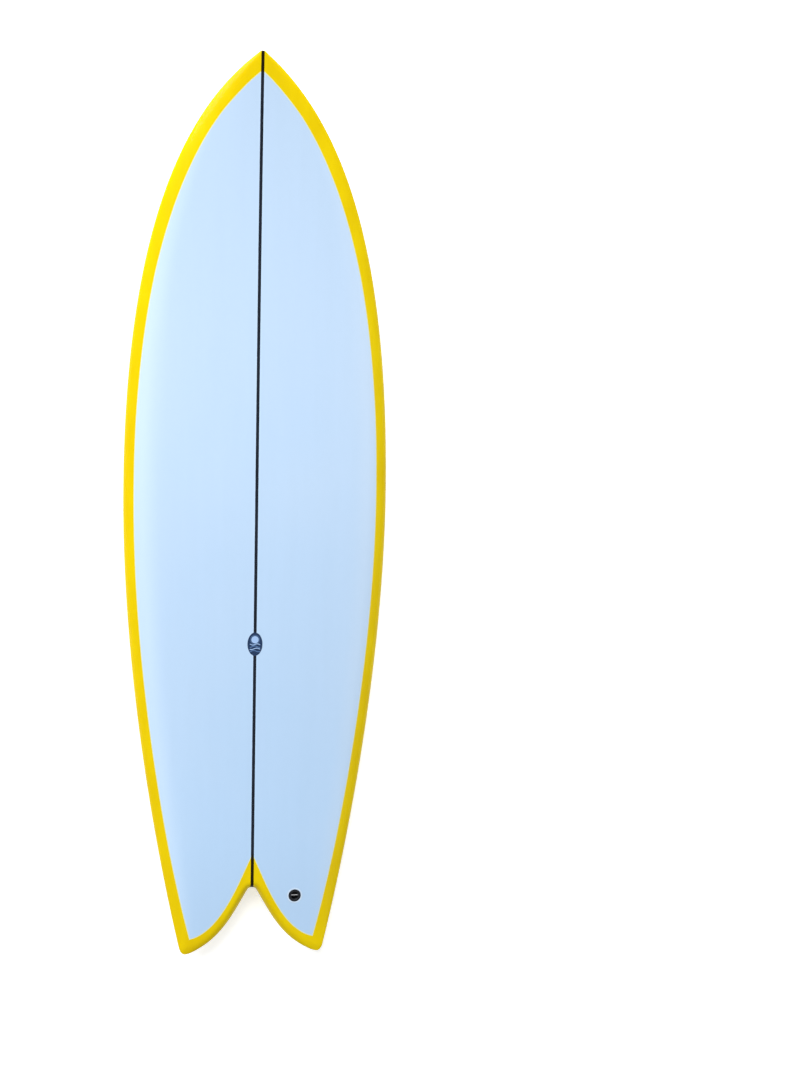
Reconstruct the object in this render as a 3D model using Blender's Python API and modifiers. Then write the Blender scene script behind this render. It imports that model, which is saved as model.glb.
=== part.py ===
"""Twin-keel fish surfboard with a swallow tail, lying deck up.

Metres. +Y points to the nose, +Z up out of the deck, +X to the right of a rider
looking at the nose. The origin is under the middle of the board, on the plane
that the flat of the bottom rests on.

The board is a shell over a core. Every skin is the same family of surfaces,
moved inward by a depth: 0 is the outside of the glass, GLASS is its inside and
CORE is the outside of the foam.
"""
import bpy
import bmesh
import math
import numpy as np
from mathutils import Matrix, Vector

# ------------------------------------------------------------ driving dimensions
LENGTH = 1.727            # 5'8" over all
HALF_WIDTH = 0.2567       # half of 20 1/4"
WIDE_POINT = 0.0435       # the widest section is this far ahead of the middle
NOSE_HANDLE = (0.1473, 0.1036)   # direction and fullness of the nose curve
WIDE_FORE = 0.4963        # how far the wide point's curve reaches forward
WIDE_AFT = 0.4013         # and aft
TAIL_HALF = 0.1393        # half width where the tail tips begin to round
TAIL_HANDLE = (0.0308, 0.1202)
TIP_X = 0.1285            # the aftmost point of each tail tip
NOTCH_DEPTH = 0.1255       # swallow notch, tip to apex
NOTCH_ANGLE = 30.3        # half angle of the notch at its apex, degrees
NOSE_ROCKER = 0.115       # 4 1/2"
TAIL_ROCKER = 0.045       # 1 3/4"
FLAT_CENTRE = -0.015      # the balance point, where the bottom is truly flat
FLAT_HALF = 0.075

# distance from the tail tips, then the value there
THICKNESS = [(0.0, 0.012), (0.108, 0.028), (0.305, 0.0435), (0.60, 0.0575),
             (0.86, 0.062), (1.12, 0.0592), (1.422, 0.0405), (1.60, 0.0235), (1.727, 0.010)]
RAIL_APEX = [(0.0, 0.0055), (0.305, 0.0085), (0.86, 0.018), (1.422, 0.014), (1.727, 0.005)]
BOTTOM_TUCK = [(0.0, 0.006), (0.305, 0.009), (0.86, 0.030), (1.422, 0.022), (1.727, 0.006)]
CROWN = 0.45              # how far the deck falls from stringer to rail
CROWN_POWER = 2.2
DECK_ROUND = 0.27         # deck rail radius as a share of the half width
NOTCH_ROUND_DECK = 0.014
NOTCH_ROUND_BOTTOM = 0.006

# width of the coloured rail lap, by distance round the outline from the nose
DECK_LAP = [(0.0, 0.0298), (0.05, 0.0298), (0.09, 0.0300), (0.14, 0.0287), (0.26, 0.0279), (0.37, 0.0262), (0.47, 0.0242),
            (0.575, 0.0230), (0.775, 0.0212), (1.0, 0.0210), (1.40, 0.0208), (1.60, 0.0209), (1.72, 0.0222), (1.90, 0.0255)]
BOTTOM_LAP = [(0.0, 0.0285), (0.12, 0.0250), (0.40, 0.0260), (1.70, 0.0260), (1.90, 0.0280)]
DECK_CORNER, DECK_PEAK = 0.0295, 0.1930      # lap corner and lap peak, from the tail tips
BOTTOM_CORNER, BOTTOM_PEAK = 0.036, 0.203

GLASS = 0.0010            # laminate thickness
GAP = 0.0003              # clearance between touching pieces
CORE = GLASS + 0.00045    # depth of the foam's own surface
STRINGER = 0.0060         # stringer thickness

FIN_X, FIN_Y = 0.143, 0.232      # fin box centre: off the stringer, from the tail tips
FIN_TOE = 0.65            # degrees
OVAL = (0.140, 0.033)     # resin cap over the flange
FLANGE = (0.1392, 0.0322, 0.0018, 0.0032)  # length, width, from depth, to depth
BOX = (0.123, 0.0140, 0.016)     # moulded body: length, width, depth
BOX_CORNER = 0.003
SLOT = (0.097, 0.0061, 0.0130)   # single long slot
SLOT_Y = -0.0015
SCREW_Y = 0.0543          # set screw's mouth, ahead of the box's centre
SCREW_TILT = 35.0         # it leans back into the slot
SCREW = (0.0047, 0.009, 0.0018)  # diameter, length, depth of its head
BORE = 0.0053
HEX = 0.0024

PLUG_X, PLUG_Y = 0.083, 0.1116
CUP = (0.0238, 0.0160)    # leash cup diameter and height
BOWL = (0.0144, 0.0136)
PIN = (0.0040, 0.0206, 0.0036)   # diameter, length, depth of its axis
PIN_TURN = 0.5
PLUG_RESIN = (0.0300, 0.0180)

EMBLEM = (0.029, 0.0452, 0.6036)             # width, length, distance from the tail tips
LABEL = (-0.0905, -0.0035, 0.991, 1.116)   # x from, x to, from the tail tips
PRINT = 0.00025           # printed lamination
PRINT_RECESS = 0.00055

NOSE, TAIL = LENGTH / 2, -LENGTH / 2


# ------------------------------------------------------------------- the outline
def bezier(p, n):
    t = np.linspace(0.0, 1.0, n)[:, None]
    p = np.array(p, float)
    return (1 - t) ** 3 * p[0] + 3 * (1 - t) ** 2 * t * p[1] + 3 * (1 - t) * t ** 2 * p[2] + t ** 3 * p[3]


def chain(*curves):
    out = [curves[0]]
    for c in curves[1:]:
        out.append(c[1:])
    return np.vstack(out)


def nose_curve(n):
    """Nose tip to wide point. The tip itself is rounded to about 10 mm."""
    fore = bezier([(0.0, NOSE + 0.0022), (NOSE_HANDLE[0], NOSE + 0.0022 - NOSE_HANDLE[1]),
                   (HALF_WIDTH, WIDE_POINT + WIDE_FORE), (HALF_WIDTH, WIDE_POINT)], n)
    k = max(2, int(0.022 * n))
    way = fore[k + 1] - fore[k]
    way /= np.linalg.norm(way)
    tip = bezier([(0.0, NOSE), (0.0052, NOSE), fore[k] - way * 0.0045, fore[k]], max(12, n // 20))
    return chain(tip, fore[k:])


def tail_curve(n):
    """Wide point to the aftmost point of the tail tip."""
    aft = bezier([(HALF_WIDTH, WIDE_POINT), (HALF_WIDTH, WIDE_POINT - WIDE_AFT),
                  (TAIL_HALF + TAIL_HANDLE[0], TAIL + 0.012 + TAIL_HANDLE[1]), (TAIL_HALF, TAIL + 0.012)], n)
    tip = bezier([(TAIL_HALF, TAIL + 0.012), (TAIL_HALF - 0.0018, TAIL + 0.0050),
                  (TIP_X + 0.0040, TAIL), (TIP_X, TAIL)], max(12, n // 20))
    return chain(aft, tip)


def notch_curve(n):
    """Tail tip, along the swallow notch, to its apex on the centre line."""
    a = math.radians(NOTCH_ANGLE)
    top = np.array([0.0092, TAIL + NOTCH_DEPTH - 0.0056])
    up = np.array([-math.sin(a), math.cos(a)])
    low, way = np.array([0.1145, TAIL + 0.0036]), np.array([-0.911, 0.413])
    tip = bezier([(TIP_X, TAIL), (TIP_X - 0.0037, TAIL), low - way * 0.0052, low], max(10, n // 20))
    edge = bezier([low, low + way * 0.060, top - up * 0.060, top], n)
    apex = bezier([top, top + up * 0.0050, (0.0042, TAIL + NOTCH_DEPTH), (0.0, TAIL + NOTCH_DEPTH)], max(8, n // 12))
    return chain(tip, edge, apex)


FINE = 500
NOSE_SIDE, TAIL_SIDE, NOTCH_SIDE = nose_curve(FINE), tail_curve(FINE), notch_curve(240)
OUTER = chain(NOSE_SIDE, TAIL_SIDE)
NOTCH_LONG = np.vstack([[TIP_X + 0.05, TAIL], NOTCH_SIDE])   # carried on past the tip


def length_along(line):
    return np.concatenate([[0.0], np.cumsum(np.linalg.norm(np.diff(line, axis=0), axis=1))])


def distance(x, y, line):
    """Distance of each point from a polyline."""
    a, b = line[:-1], line[1:]
    ab = b - a
    px, py = np.ravel(x)[:, None], np.ravel(y)[:, None]
    t = ((px - a[:, 0]) * ab[:, 0] + (py - a[:, 1]) * ab[:, 1]) / (ab ** 2).sum(axis=1)
    t = np.clip(t, 0.0, 1.0)
    dx, dy = px - a[:, 0] - t * ab[:, 0], py - a[:, 1] - t * ab[:, 1]
    return np.sqrt((dx * dx + dy * dy).min(axis=1)).reshape(np.shape(x))


def spline(stations):
    """Natural cubic through design stations, as a function of the distance from the tail tips."""
    xs, ys = np.array(stations).T
    n, h = len(xs), np.diff(xs)
    m, r = np.eye(n), np.zeros(n)
    for i in range(1, n - 1):
        m[i, i - 1], m[i, i], m[i, i + 1] = h[i - 1], 2 * (h[i - 1] + h[i]), h[i]
        r[i] = 6 * ((ys[i + 1] - ys[i]) / h[i] - (ys[i] - ys[i - 1]) / h[i - 1])
    k = np.linalg.solve(m, r)

    def value(y):
        q = np.clip(np.asarray(y, float) - TAIL, xs[0], xs[-1])
        i = np.clip(np.searchsorted(xs, q) - 1, 0, n - 2)
        a, b = xs[i + 1] - q, q - xs[i]
        return ((k[i] * a ** 3 + k[i + 1] * b ** 3) / (6 * h[i]) + (ys[i] / h[i] - k[i] * h[i] / 6) * a
                + (ys[i + 1] / h[i] - k[i + 1] * h[i] / 6) * b)
    return value


thickness, rail_apex, bottom_tuck = spline(THICKNESS), spline(RAIL_APEX), spline(BOTTOM_TUCK)


def rocker(y):
    fore = np.clip((y - FLAT_CENTRE - FLAT_HALF) / (NOSE - FLAT_CENTRE - FLAT_HALF), 0.0, None)
    aft = np.clip((FLAT_CENTRE - FLAT_HALF - y) / (FLAT_CENTRE - FLAT_HALF - TAIL), 0.0, None)
    return NOSE_ROCKER * fore ** 2.4 + TAIL_ROCKER * aft ** 2.2


ORDER = np.argsort(OUTER[:, 1])


def half_width(y):
    return np.maximum(np.interp(y, OUTER[ORDER, 1], OUTER[ORDER, 0]), 0.012)


def swell(d, radius):
    """0 at an edge to 1 a radius inside it, along a quarter ellipse."""
    return np.sqrt(np.clip(1.0 - (1.0 - np.clip(d / radius, 0.0, 1.0)) ** 2, 0.0, 1.0))


def surface(x, y, deck, depth=0.0, rim=None):
    """Height of the deck or the bottom, moved inward by depth. rim marks points on the rail's apex."""
    x, y = np.abs(np.asarray(x, float)), np.asarray(y, float)
    w = half_width(y)
    base, apex = rocker(y), rail_apex(y)
    d_out = np.maximum(distance(x, y, OUTER) - depth, 0.0)
    d_notch = np.maximum(distance(x, y, NOTCH_LONG) - depth, 0.0)
    if rim is not None:
        d_out = np.where(rim, 0.0, d_out)
    if deck:
        crown = 1.0 - CROWN * np.clip(x / w, 0.0, 1.05) ** CROWN_POWER
        rise = (thickness(y) - apex) * crown - depth
        z = base + apex + rise * swell(d_out, DECK_ROUND * w - depth) * swell(d_notch, NOTCH_ROUND_DECK - depth)
    else:
        tuck = np.minimum(bottom_tuck(y), 0.5 * w)
        z = base + apex - (apex - depth) * swell(d_out, tuck - depth) * swell(d_notch, NOTCH_ROUND_BOTTOM - depth)
    return z


# ------------------------------------------------- stations round the outline
TOLERANCE = 0.0009
LOBE = 0.026


def stations():
    """Points round the half outline, closer where it bends, and their inward normals."""
    pts, nrm = [], []
    for k, line in enumerate((NOSE_SIDE, TAIL_SIDE, NOTCH_SIDE)):
        s = length_along(line)
        g = np.gradient(line, s, axis=0)
        g /= np.linalg.norm(g, axis=1)[:, None]
        bend = np.linalg.norm(np.gradient(g, s, axis=0), axis=1)
        step = np.clip(np.sqrt(8 * TOLERANCE / np.maximum(bend, 1e-3)), 0.004, 0.070)
        if k == 1:
            step = np.where(line[:, 1] < TAIL + 0.20, np.minimum(step, LOBE), step)
        if k == 2:
            step = np.minimum(step, LOBE * 1.1)
        count = np.concatenate([[0.0], np.cumsum(np.diff(s) * 0.5 * (1 / step[1:] + 1 / step[:-1]))])
        n = int(math.ceil(count[-1]))
        at = np.interp(np.linspace(0, count[-1], n + 1), count, s)
        p = np.column_stack([np.interp(at, s, line[:, 0]), np.interp(at, s, line[:, 1])])
        t = np.column_stack([np.interp(at, s, g[:, 0]), np.interp(at, s, g[:, 1])])
        t /= np.linalg.norm(t, axis=1)[:, None]
        q = np.column_stack([t[:, 1], -t[:, 0]])          # the outline runs clockwise
        if k == 0:
            q[0] = (0.0, -1.0)
        if k == 2:
            q[-1] = (0.0, 1.0)
        pts.append(p if k == 0 else p[1:])
        nrm.append(q if k == 0 else q[1:])
    sizes = [len(p) for p in pts]
    return np.vstack(pts), np.vstack(nrm), sizes[0] + sizes[1]


EDGE, INWARD, FIRST_NOTCH = stations()


def lap(widths, corner_y, peak_y, corner_out, corner_in):
    """The lap line inside the rails: its own points, and which of them each station joins."""
    s = length_along(EDGE)
    w = np.interp(s, [a for a, b in widths], [b for a, b in widths])
    off = EDGE + INWARD * w[:, None]
    line, joins, i = [], [], 0
    while off[i + 1, 0] < 0.0:
        i += 1
    t = off[i, 0] / (off[i, 0] - off[i + 1, 0])
    line.append((0.0, off[i, 1] + t * (off[i + 1, 1] - off[i, 1])))     # nose peak
    joins += [0] * (i + 1)
    i += 1
    low = TAIL + corner_y
    while off[i, 1] > low + 0.004:
        joins.append(len(line))
        line.append(tuple(off[i]))
        i += 1
    t = (off[i - 1, 1] - low) / (off[i - 1, 1] - off[i, 1])
    corner = off[i - 1] + t * (off[i] - off[i - 1])
    c = len(line)
    line.append(tuple(corner))
    foot = FIRST_NOTCH + int(np.argmin(np.linalg.norm(EDGE[FIRST_NOTCH:] - corner, axis=1)))
    while i <= foot:
        joins.append(c)
        i += 1
    peak = np.array([0.0, TAIL + peak_y])
    n = len(EDGE) - 1 - foot
    inner = bezier([corner, corner + np.array(corner_out), peak + np.array(corner_in), peak], 400)
    si, se = length_along(inner), s[foot:] - s[foot]
    for k in range(1, n + 1):
        at = si[-1] * se[k] / se[-1]
        joins.append(len(line))
        line.append((np.interp(at, si, inner[:, 0]), np.interp(at, si, inner[:, 1])))
    line[-1] = tuple(peak)
    return np.array(line), np.array(joins), c


def widen(line, by):
    """A lap line moved sideways by a small clearance, positive towards the stringer."""
    out = line.copy()
    d = np.diff(line, axis=0)
    d /= np.linalg.norm(d, axis=1)[:, None]
    n = np.column_stack([d[:, 1], -d[:, 0]])
    for i in range(1, len(line) - 1):
        m = n[i - 1] + n[i]
        out[i] += by * m / max(0.35, 1.0 + float(n[i - 1] @ n[i]))
    out[0, 1] += by * (1.0 / n[0, 1])
    out[-1, 1] += by * (1.0 / n[-1, 1])
    return out


DECK_LINE, DECK_JOIN, DECK_C = lap(DECK_LAP, DECK_CORNER, DECK_PEAK, (-0.0644, 0.0148), (0.0209, -0.0393))
BOTTOM_LINE, BOTTOM_JOIN, BOTTOM_C = lap(BOTTOM_LAP, BOTTOM_CORNER, BOTTOM_PEAK, (-0.0475, 0.0020), (0.0268, -0.0601))
DECK_STEPS = [0.0, 0.03, 0.13, 0.32, 0.62, 1.0]
BOTTOM_STEPS = [0.0, 0.06, 0.22, 0.52, 1.0]
COLUMNS = [0.0, 0.30, 0.55, 0.76, 0.90, 1.0]


# --------------------------------------------------------------- mesh assembly
class Skin:
    """Collects the points and faces of one half, x >= 0."""

    def __init__(self):
        self.v, self.f = [], []

    def points(self, x, y, z):
        start = len(self.v)
        self.v += [Vector(p) for p in zip(np.ravel(x), np.ravel(y), np.ravel(z))]
        return start

    def grid(self, ids, flip):
        """Faces between rows of vertex numbers; a row's repeated numbers close up to triangles."""
        for r0, r1 in zip(ids[:-1], ids[1:]):
            for k in range(len(r0) - 1):
                a, b, c, d = r0[k], r0[k + 1], r1[k + 1], r1[k]
                for face in ((a, b, c), (a, c, d)):       # every skin is split along the same diagonal
                    if len(set(face)) == 3:
                        self.f.append(face[::-1] if flip else face)

    def strip(self, line, joins, steps, deck, depth, rim_ids=None, flip=False):
        """The band from the rail's apex in to the lap line. Returns the rim's and the lap's vertex numbers."""
        inner = self.points(line[:, 0], line[:, 1], surface(line[:, 0], line[:, 1], deck, depth))
        rim = EDGE + INWARD * depth
        rim[0, 0] = rim[-1, 0] = 0.0
        if rim_ids is None:
            z = rocker(rim[:, 1]) + rail_apex(rim[:, 1])
            rim_ids = self.points(rim[:, 0], rim[:, 1], z) + np.arange(len(rim))
        rows = []
        for i in range(len(EDGE)):
            to = line[joins[i]]
            row = [int(rim_ids[i])]
            q = np.array([rim[i] + f * (to - rim[i]) for f in steps[1:-1]])
            start = self.points(q[:, 0], q[:, 1], surface(q[:, 0], q[:, 1], deck, depth))
            row += [start + k for k in range(len(q))] + [inner + int(joins[i])]
            rows.append(row)
        self.grid(rows, flip)
        return rim_ids, inner + np.arange(len(line))

    def panel(self, line, corner, deck, depth, line_ids=None, flip=False):
        """The middle of the half board, inside the lap line and open along x = 0."""
        if line_ids is None:
            line_ids = self.points(line[:, 0], line[:, 1],
                                   surface(line[:, 0], line[:, 1], deck, depth)) + np.arange(len(line))
        lobes = len(line) - 1 - corner
        top, split = line[0, 1], line[corner - lobes, 1]
        rows = [[int(line_ids[0])] * len(COLUMNS)]
        centre = [int(line_ids[0])]
        for i in range(1, corner + 1):
            right, back = line[i], corner - i
            if back < lobes:
                left, left_id = line[corner + back], int(line_ids[corner + back])
            elif back == lobes:
                left, left_id = line[-1], int(line_ids[-1])
                centre.append(left_id)
            else:
                y = line[-1, 1] + (right[1] - split) / (top - split) * (top - line[-1, 1])
                left = np.array([0.0, y])
                left_id = self.points([0.0], [y], surface([0.0], [y], deck, depth))
                centre.append(left_id)
            if i == corner:
                rows.append([int(line_ids[corner])] * len(COLUMNS))
                break
            q = np.array([left + f * (right - left) for f in COLUMNS[1:-1]])
            start = self.points(q[:, 0], q[:, 1], surface(q[:, 0], q[:, 1], deck, depth))
            rows.append([left_id] + [start + k for k in range(len(q))] + [int(line_ids[i])])
        self.grid(rows, flip)
        return line_ids, centre

    def wall(self, a, b, flip):
        self.grid([list(map(int, a)), list(map(int, b))], flip)

    def mesh(self, left=False):
        bm = bmesh.new()
        vs = [bm.verts.new((-p.x if left else p.x, p.y, p.z)) for p in self.v]
        for f in self.f:
            try:
                bm.faces.new([vs[k] for k in (f[::-1] if left else f)])
            except ValueError:
                pass
        bmesh.ops.delete(bm, geom=[v for v in bm.verts if not v.link_faces], context="VERTS")
        bmesh.ops.remove_doubles(bm, verts=bm.verts, dist=1e-6)
        return bm


def trim_at_centre(bm, x, left):
    """Cuts the half off flat at x, beside the stringer or its mirror, and caps it."""
    side = -1.0 if left else 1.0
    bmesh.ops.bisect_plane(bm, geom=bm.verts[:] + bm.edges[:] + bm.faces[:], dist=1e-7,
                           plane_co=(side * x, 0, 0), plane_no=(-side, 0, 0), clear_outer=True)
    bmesh.ops.holes_fill(bm, edges=[e for e in bm.edges if e.is_boundary], sides=0)
    bmesh.ops.recalc_face_normals(bm, faces=bm.faces)
    return bm


# --------------------------------------------------------- objects and materials
for old in list(bpy.data.objects):
    bpy.data.objects.remove(old, do_unlink=True)

PARTS = bpy.data.collections.new("fish_surfboard")
CUTTERS = bpy.data.collections.new("cutters")
bpy.context.scene.collection.children.link(PARTS)
bpy.context.scene.collection.children.link(CUTTERS)


def material(name, colour, rough, metal=0.0, coat=0.0):
    m = bpy.data.materials.new(name)
    m.use_nodes = True
    b = m.node_tree.nodes["Principled BSDF"]
    b.inputs["Base Color"].default_value = (*colour, 1.0)
    b.inputs["Roughness"].default_value = rough
    b.inputs["Metallic"].default_value = metal
    b.inputs["Coat Weight"].default_value = coat
    m.diffuse_color = (*colour, 1.0)
    return m


FOAM = material("polyurethane_foam", (0.62, 0.76, 0.93), 0.9)
CLEAR_DECK = material("clear_laminate", (0.58, 0.76, 0.98), 0.08, coat=1.0)
YELLOW = material("yellow_laminate", (0.94, 0.70, 0.01), 0.08, coat=1.0)
WOOD = material("dark_wood", (0.02, 0.018, 0.025), 0.5)
BLACK = material("black_plastic", (0.012, 0.012, 0.014), 0.35)
STEEL = material("stainless_steel", (0.55, 0.56, 0.58), 0.25, metal=1.0)
WHITE = material("white_plastic", (0.80, 0.83, 0.86), 0.4)
RESIN = material("clear_resin", (0.48, 0.62, 0.84), 0.12, coat=1.0)
PRINTED = material("printed_lamination", (0.03, 0.05, 0.12), 0.3)


def put(name, bm_or_mesh, mat, collection=None, matrix=None, smooth=math.radians(35)):
    if isinstance(bm_or_mesh, bmesh.types.BMesh):
        me = bpy.data.meshes.new(name)
        bm_or_mesh.to_mesh(me)
        bm_or_mesh.free()
        if smooth:
            me.shade_smooth()
            me.set_sharp_from_angle(angle=smooth)
        me.materials.append(mat)
    else:
        me = bm_or_mesh
    o = bpy.data.objects.new(name, me)
    (collection or PARTS).objects.link(o)
    if matrix is not None:
        o.matrix_world = matrix
    return o


def cutter(name, bm, matrix=None):
    o = put(name, bm, WHITE, CUTTERS, matrix, smooth=None)
    o.hide_render = True
    o.display_type = "WIRE"
    return o


def cut(o, *tools, operation="DIFFERENCE"):
    for t in tools:
        m = o.modifiers.new(t.name, "BOOLEAN")
        m.operation, m.object, m.solver = operation, t, "EXACT"
    return o


def evaluated(o):
    """The finished mesh of an object with its modifiers, and the object removed."""
    bpy.context.view_layer.update()
    me = bpy.data.meshes.new_from_object(o.evaluated_get(bpy.context.evaluated_depsgraph_get()))
    me.name = o.name
    bpy.data.objects.remove(o, do_unlink=True)
    return me


def slab(length, width, z0, z1, segments=16):
    """Long slot shape with round ends, along Y, between two heights."""
    bm = bmesh.new()
    bmesh.ops.create_circle(bm, cap_ends=True, segments=segments, radius=width / 2,
                            matrix=Matrix.Rotation(math.pi / segments, 4, "Z"))
    for v in bm.verts:
        v.co.y += math.copysign((length - width) / 2, v.co.y)
        v.co.z = z0
    up = bmesh.ops.extrude_face_region(bm, geom=bm.faces[:])
    bmesh.ops.translate(bm, verts=[g for g in up["geom"] if isinstance(g, bmesh.types.BMVert)], vec=(0, 0, z1 - z0))
    bmesh.ops.recalc_face_normals(bm, faces=bm.faces)
    return bm


def brick(length, width, z0, z1, corner, steps=3):
    """Block with rounded upright corners, its long side along Y."""
    bm = bmesh.new()
    rows = [[], []]
    for k, (sx, sy) in enumerate(((1, 1), (-1, 1), (-1, -1), (1, -1))):
        for j in range(steps + 1):
            a = math.pi / 2 * (k + j / steps)
            x, y = sx * (width / 2 - corner) + corner * math.cos(a), sy * (length / 2 - corner) + corner * math.sin(a)
            for row, z in zip(rows, (z0, z1)):
                row.append(bm.verts.new((x, y, z)))
    low, top = rows
    bm.faces.new(low[::-1])
    bm.faces.new(top)
    for a, b, c, d in zip(low, low[1:] + low[:1], top[1:] + top[:1], top):
        bm.faces.new((a, b, c, d))
    return bm


def rod(diameter, z0, z1, segments=24, top=None):
    bm = bmesh.new()
    bmesh.ops.create_cone(bm, cap_ends=True, segments=segments, radius1=diameter / 2,
                          radius2=(top if top is not None else diameter) / 2, depth=z1 - z0,
                          matrix=Matrix.Translation((0, 0, (z0 + z1) / 2)))
    return bm


def join(*bms):
    whole = bmesh.new()
    for b in bms:
        me = bpy.data.meshes.new("piece")
        b.to_mesh(me)
        b.free()
        whole.from_mesh(me)
        bpy.data.meshes.remove(me)
    return whole


# ------------------------------------------------------------------ the laminates
def laminate(line, corner, deck):
    s = Skin()
    inside = widen(line, GAP / 2)
    outer, _ = s.panel(inside, corner, deck, 0.0, flip=deck)
    inner, _ = s.panel(inside, corner, deck, GLASS, flip=not deck)
    s.wall(outer, inner, flip=not deck)
    return s.mesh()


def mirrored(name, bm, mat):
    o = put(name, bm, mat)
    m = o.modifiers.new("both_halves", "MIRROR")
    m.use_axis = (True, False, False)
    m.merge_threshold = 0.00001
    return o


deck_laminate = mirrored("deck_laminate", laminate(DECK_LINE, DECK_C, True), CLEAR_DECK)
bottom_laminate = mirrored("bottom_laminate", laminate(BOTTOM_LINE, BOTTOM_C, False), CLEAR_DECK)


def rail_laminate(left):
    s = Skin()
    deck_line, bottom_line = widen(DECK_LINE, -GAP / 2), widen(BOTTOM_LINE, -GAP / 2)
    rim, deck_out = s.strip(deck_line, DECK_JOIN, DECK_STEPS, True, 0.0, flip=False)
    _, bottom_out = s.strip(bottom_line, BOTTOM_JOIN, BOTTOM_STEPS, False, 0.0, rim, flip=True)
    rim, deck_in = s.strip(deck_line, DECK_JOIN, DECK_STEPS, True, GLASS, flip=True)
    _, bottom_in = s.strip(bottom_line, BOTTOM_JOIN, BOTTOM_STEPS, False, GLASS, rim, flip=False)
    s.wall(deck_out, deck_in, flip=False)
    s.wall(bottom_out, bottom_in, flip=True)
    return trim_at_centre(s.mesh(left), GAP / 2, left)


rail_left = put("rail_laminate_left", rail_laminate(True), YELLOW)
rail_right = put("rail_laminate_right", rail_laminate(False), YELLOW)


# ------------------------------------------------------------------- the stringer
def foam_skin():
    s = Skin()
    depth = CORE
    rim, deck_ids = s.strip(DECK_LINE, DECK_JOIN, DECK_STEPS, True, depth, flip=False)
    _, bottom_ids = s.strip(BOTTOM_LINE, BOTTOM_JOIN, BOTTOM_STEPS, False, depth, rim, flip=True)
    s.panel(DECK_LINE, DECK_C, True, depth, deck_ids, flip=True)
    s.panel(BOTTOM_LINE, BOTTOM_C, False, depth, bottom_ids, flip=False)
    return s


foam_left = put("foam_blank_left", trim_at_centre(foam_skin().mesh(True), STRINGER / 2 + GAP, True), FOAM)
foam_right = put("foam_blank_right", trim_at_centre(foam_skin().mesh(), STRINGER / 2 + GAP, False), FOAM)


def stringer():
    """The slice of the core between the two foam halves: half of it, open at the centre line."""
    bm = foam_skin().mesh()
    bmesh.ops.bisect_plane(bm, geom=bm.verts[:] + bm.edges[:] + bm.faces[:], dist=1e-7,
                           plane_co=(STRINGER / 2, 0, 0), plane_no=(1, 0, 0), clear_outer=True)
    bmesh.ops.holes_fill(bm, edges=[e for e in bm.edges if e.is_boundary and min(v.co.x for v in e.verts) > 1e-5], sides=0)
    return bm


mirrored("stringer", stringer(), WOOD)


# ------------------------------------------------- printed laminations, let in flush
def sheet(xy, rows, deck, z_out, z_in):
    """A thin sheet that follows the board: rows of plan points, from one depth to another."""
    xy = np.array(xy)
    bm = bmesh.new()
    skins = []
    for depth in (z_out, z_in):
        z = surface(xy[:, 0], xy[:, 1], deck, 0.0) + (-depth if deck else depth)
        skins.append([bm.verts.new((x, y, h)) for (x, y), h in zip(xy, z)])
    for row in rows:
        bm.faces.new([skins[0][k] for k in row])
        bm.faces.new([skins[1][k] for k in row[::-1]])
    rim = [e for e in bm.edges if e.is_boundary]
    pair = {a: b for a, b in zip(skins[0], skins[1])}
    for e in rim:
        a, b = e.verts
        if a in pair and b in pair:
            bm.faces.new((a, b, pair[b], pair[a]))
    bmesh.ops.recalc_face_normals(bm, faces=bm.faces)
    return bm


def oval_sheet(width, length, cx, cy, deck, z_out, z_in, n=24):
    xy, rows = [(cx, cy)], []
    for ring in (0.5, 1.0):
        xy += [(cx + ring * width / 2 * math.cos(2 * math.pi * k / n), cy + ring * length / 2 * math.sin(2 * math.pi * k / n))
               for k in range(n)]
    for k in range(n):
        j = (k + 1) % n
        rows.append((0, 1 + k, 1 + j))
        rows.append((1 + k, 1 + n + k, 1 + n + j, 1 + j))
    return sheet(xy, rows, deck, z_out, z_in)


def box_sheet(x0, x1, y0, y1, deck, z_out, z_in, nx=3, ny=5):
    xy = [(x0 + (x1 - x0) * i / nx, y0 + (y1 - y0) * j / ny) for j in range(ny + 1) for i in range(nx + 1)]
    rows = [(j * (nx + 1) + i, j * (nx + 1) + i + 1, (j + 1) * (nx + 1) + i + 1, (j + 1) * (nx + 1) + i)
            for j in range(ny) for i in range(nx)]
    return sheet(xy, rows, deck, z_out, z_in)


put("deck_emblem", oval_sheet(EMBLEM[0], EMBLEM[1], 0.0, TAIL + EMBLEM[2], True, 0.0, PRINT), PRINTED)
emblem_recess = cutter("emblem_recess", oval_sheet(EMBLEM[0] + 2 * GAP, EMBLEM[1] + 2 * GAP, 0.0, TAIL + EMBLEM[2],
                                                   True, -0.003, PRINT_RECESS))
put("bottom_label", box_sheet(LABEL[0], LABEL[1], TAIL + LABEL[2], TAIL + LABEL[3], False, 0.0, PRINT), PRINTED)
label_recess = cutter("label_recess", box_sheet(LABEL[0] - GAP, LABEL[1] + GAP, TAIL + LABEL[2] - GAP,
                                                TAIL + LABEL[3] + GAP, False, -0.003, PRINT_RECESS))


# ----------------------------------------------------------------------- fin boxes
SCREW_AXIS = Matrix.Translation((0, SCREW_Y, 0)) @ Matrix.Rotation(math.radians(SCREW_TILT), 4, "X")


def moved(bm, matrix):
    bmesh.ops.transform(bm, matrix=matrix, verts=bm.verts)
    return bm


def perforations():
    """The flange's row of slots that the resin locks into."""
    holes = []
    for side in (-1, 1):
        for y in (0.0346, 0.0098, -0.0147, -0.0386):
            holes.append(moved(slab(0.010, 0.0034, 0.0, 0.006, 6), Matrix.Translation((side * 0.0124, y, 0))))
        for end in (-1, 1):
            holes.append(moved(slab(0.009, 0.0034, 0.0, 0.006, 6),
                               Matrix.Translation((side * 0.0104, end * 0.0597, 0)) @ Matrix.Rotation(side * end * math.radians(33), 4, "Z")))
    holes.append(moved(rod(0.0036, 0.0, 0.006, 6), Matrix.Translation((0, -0.0655, 0))))
    return join(*holes)


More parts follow.
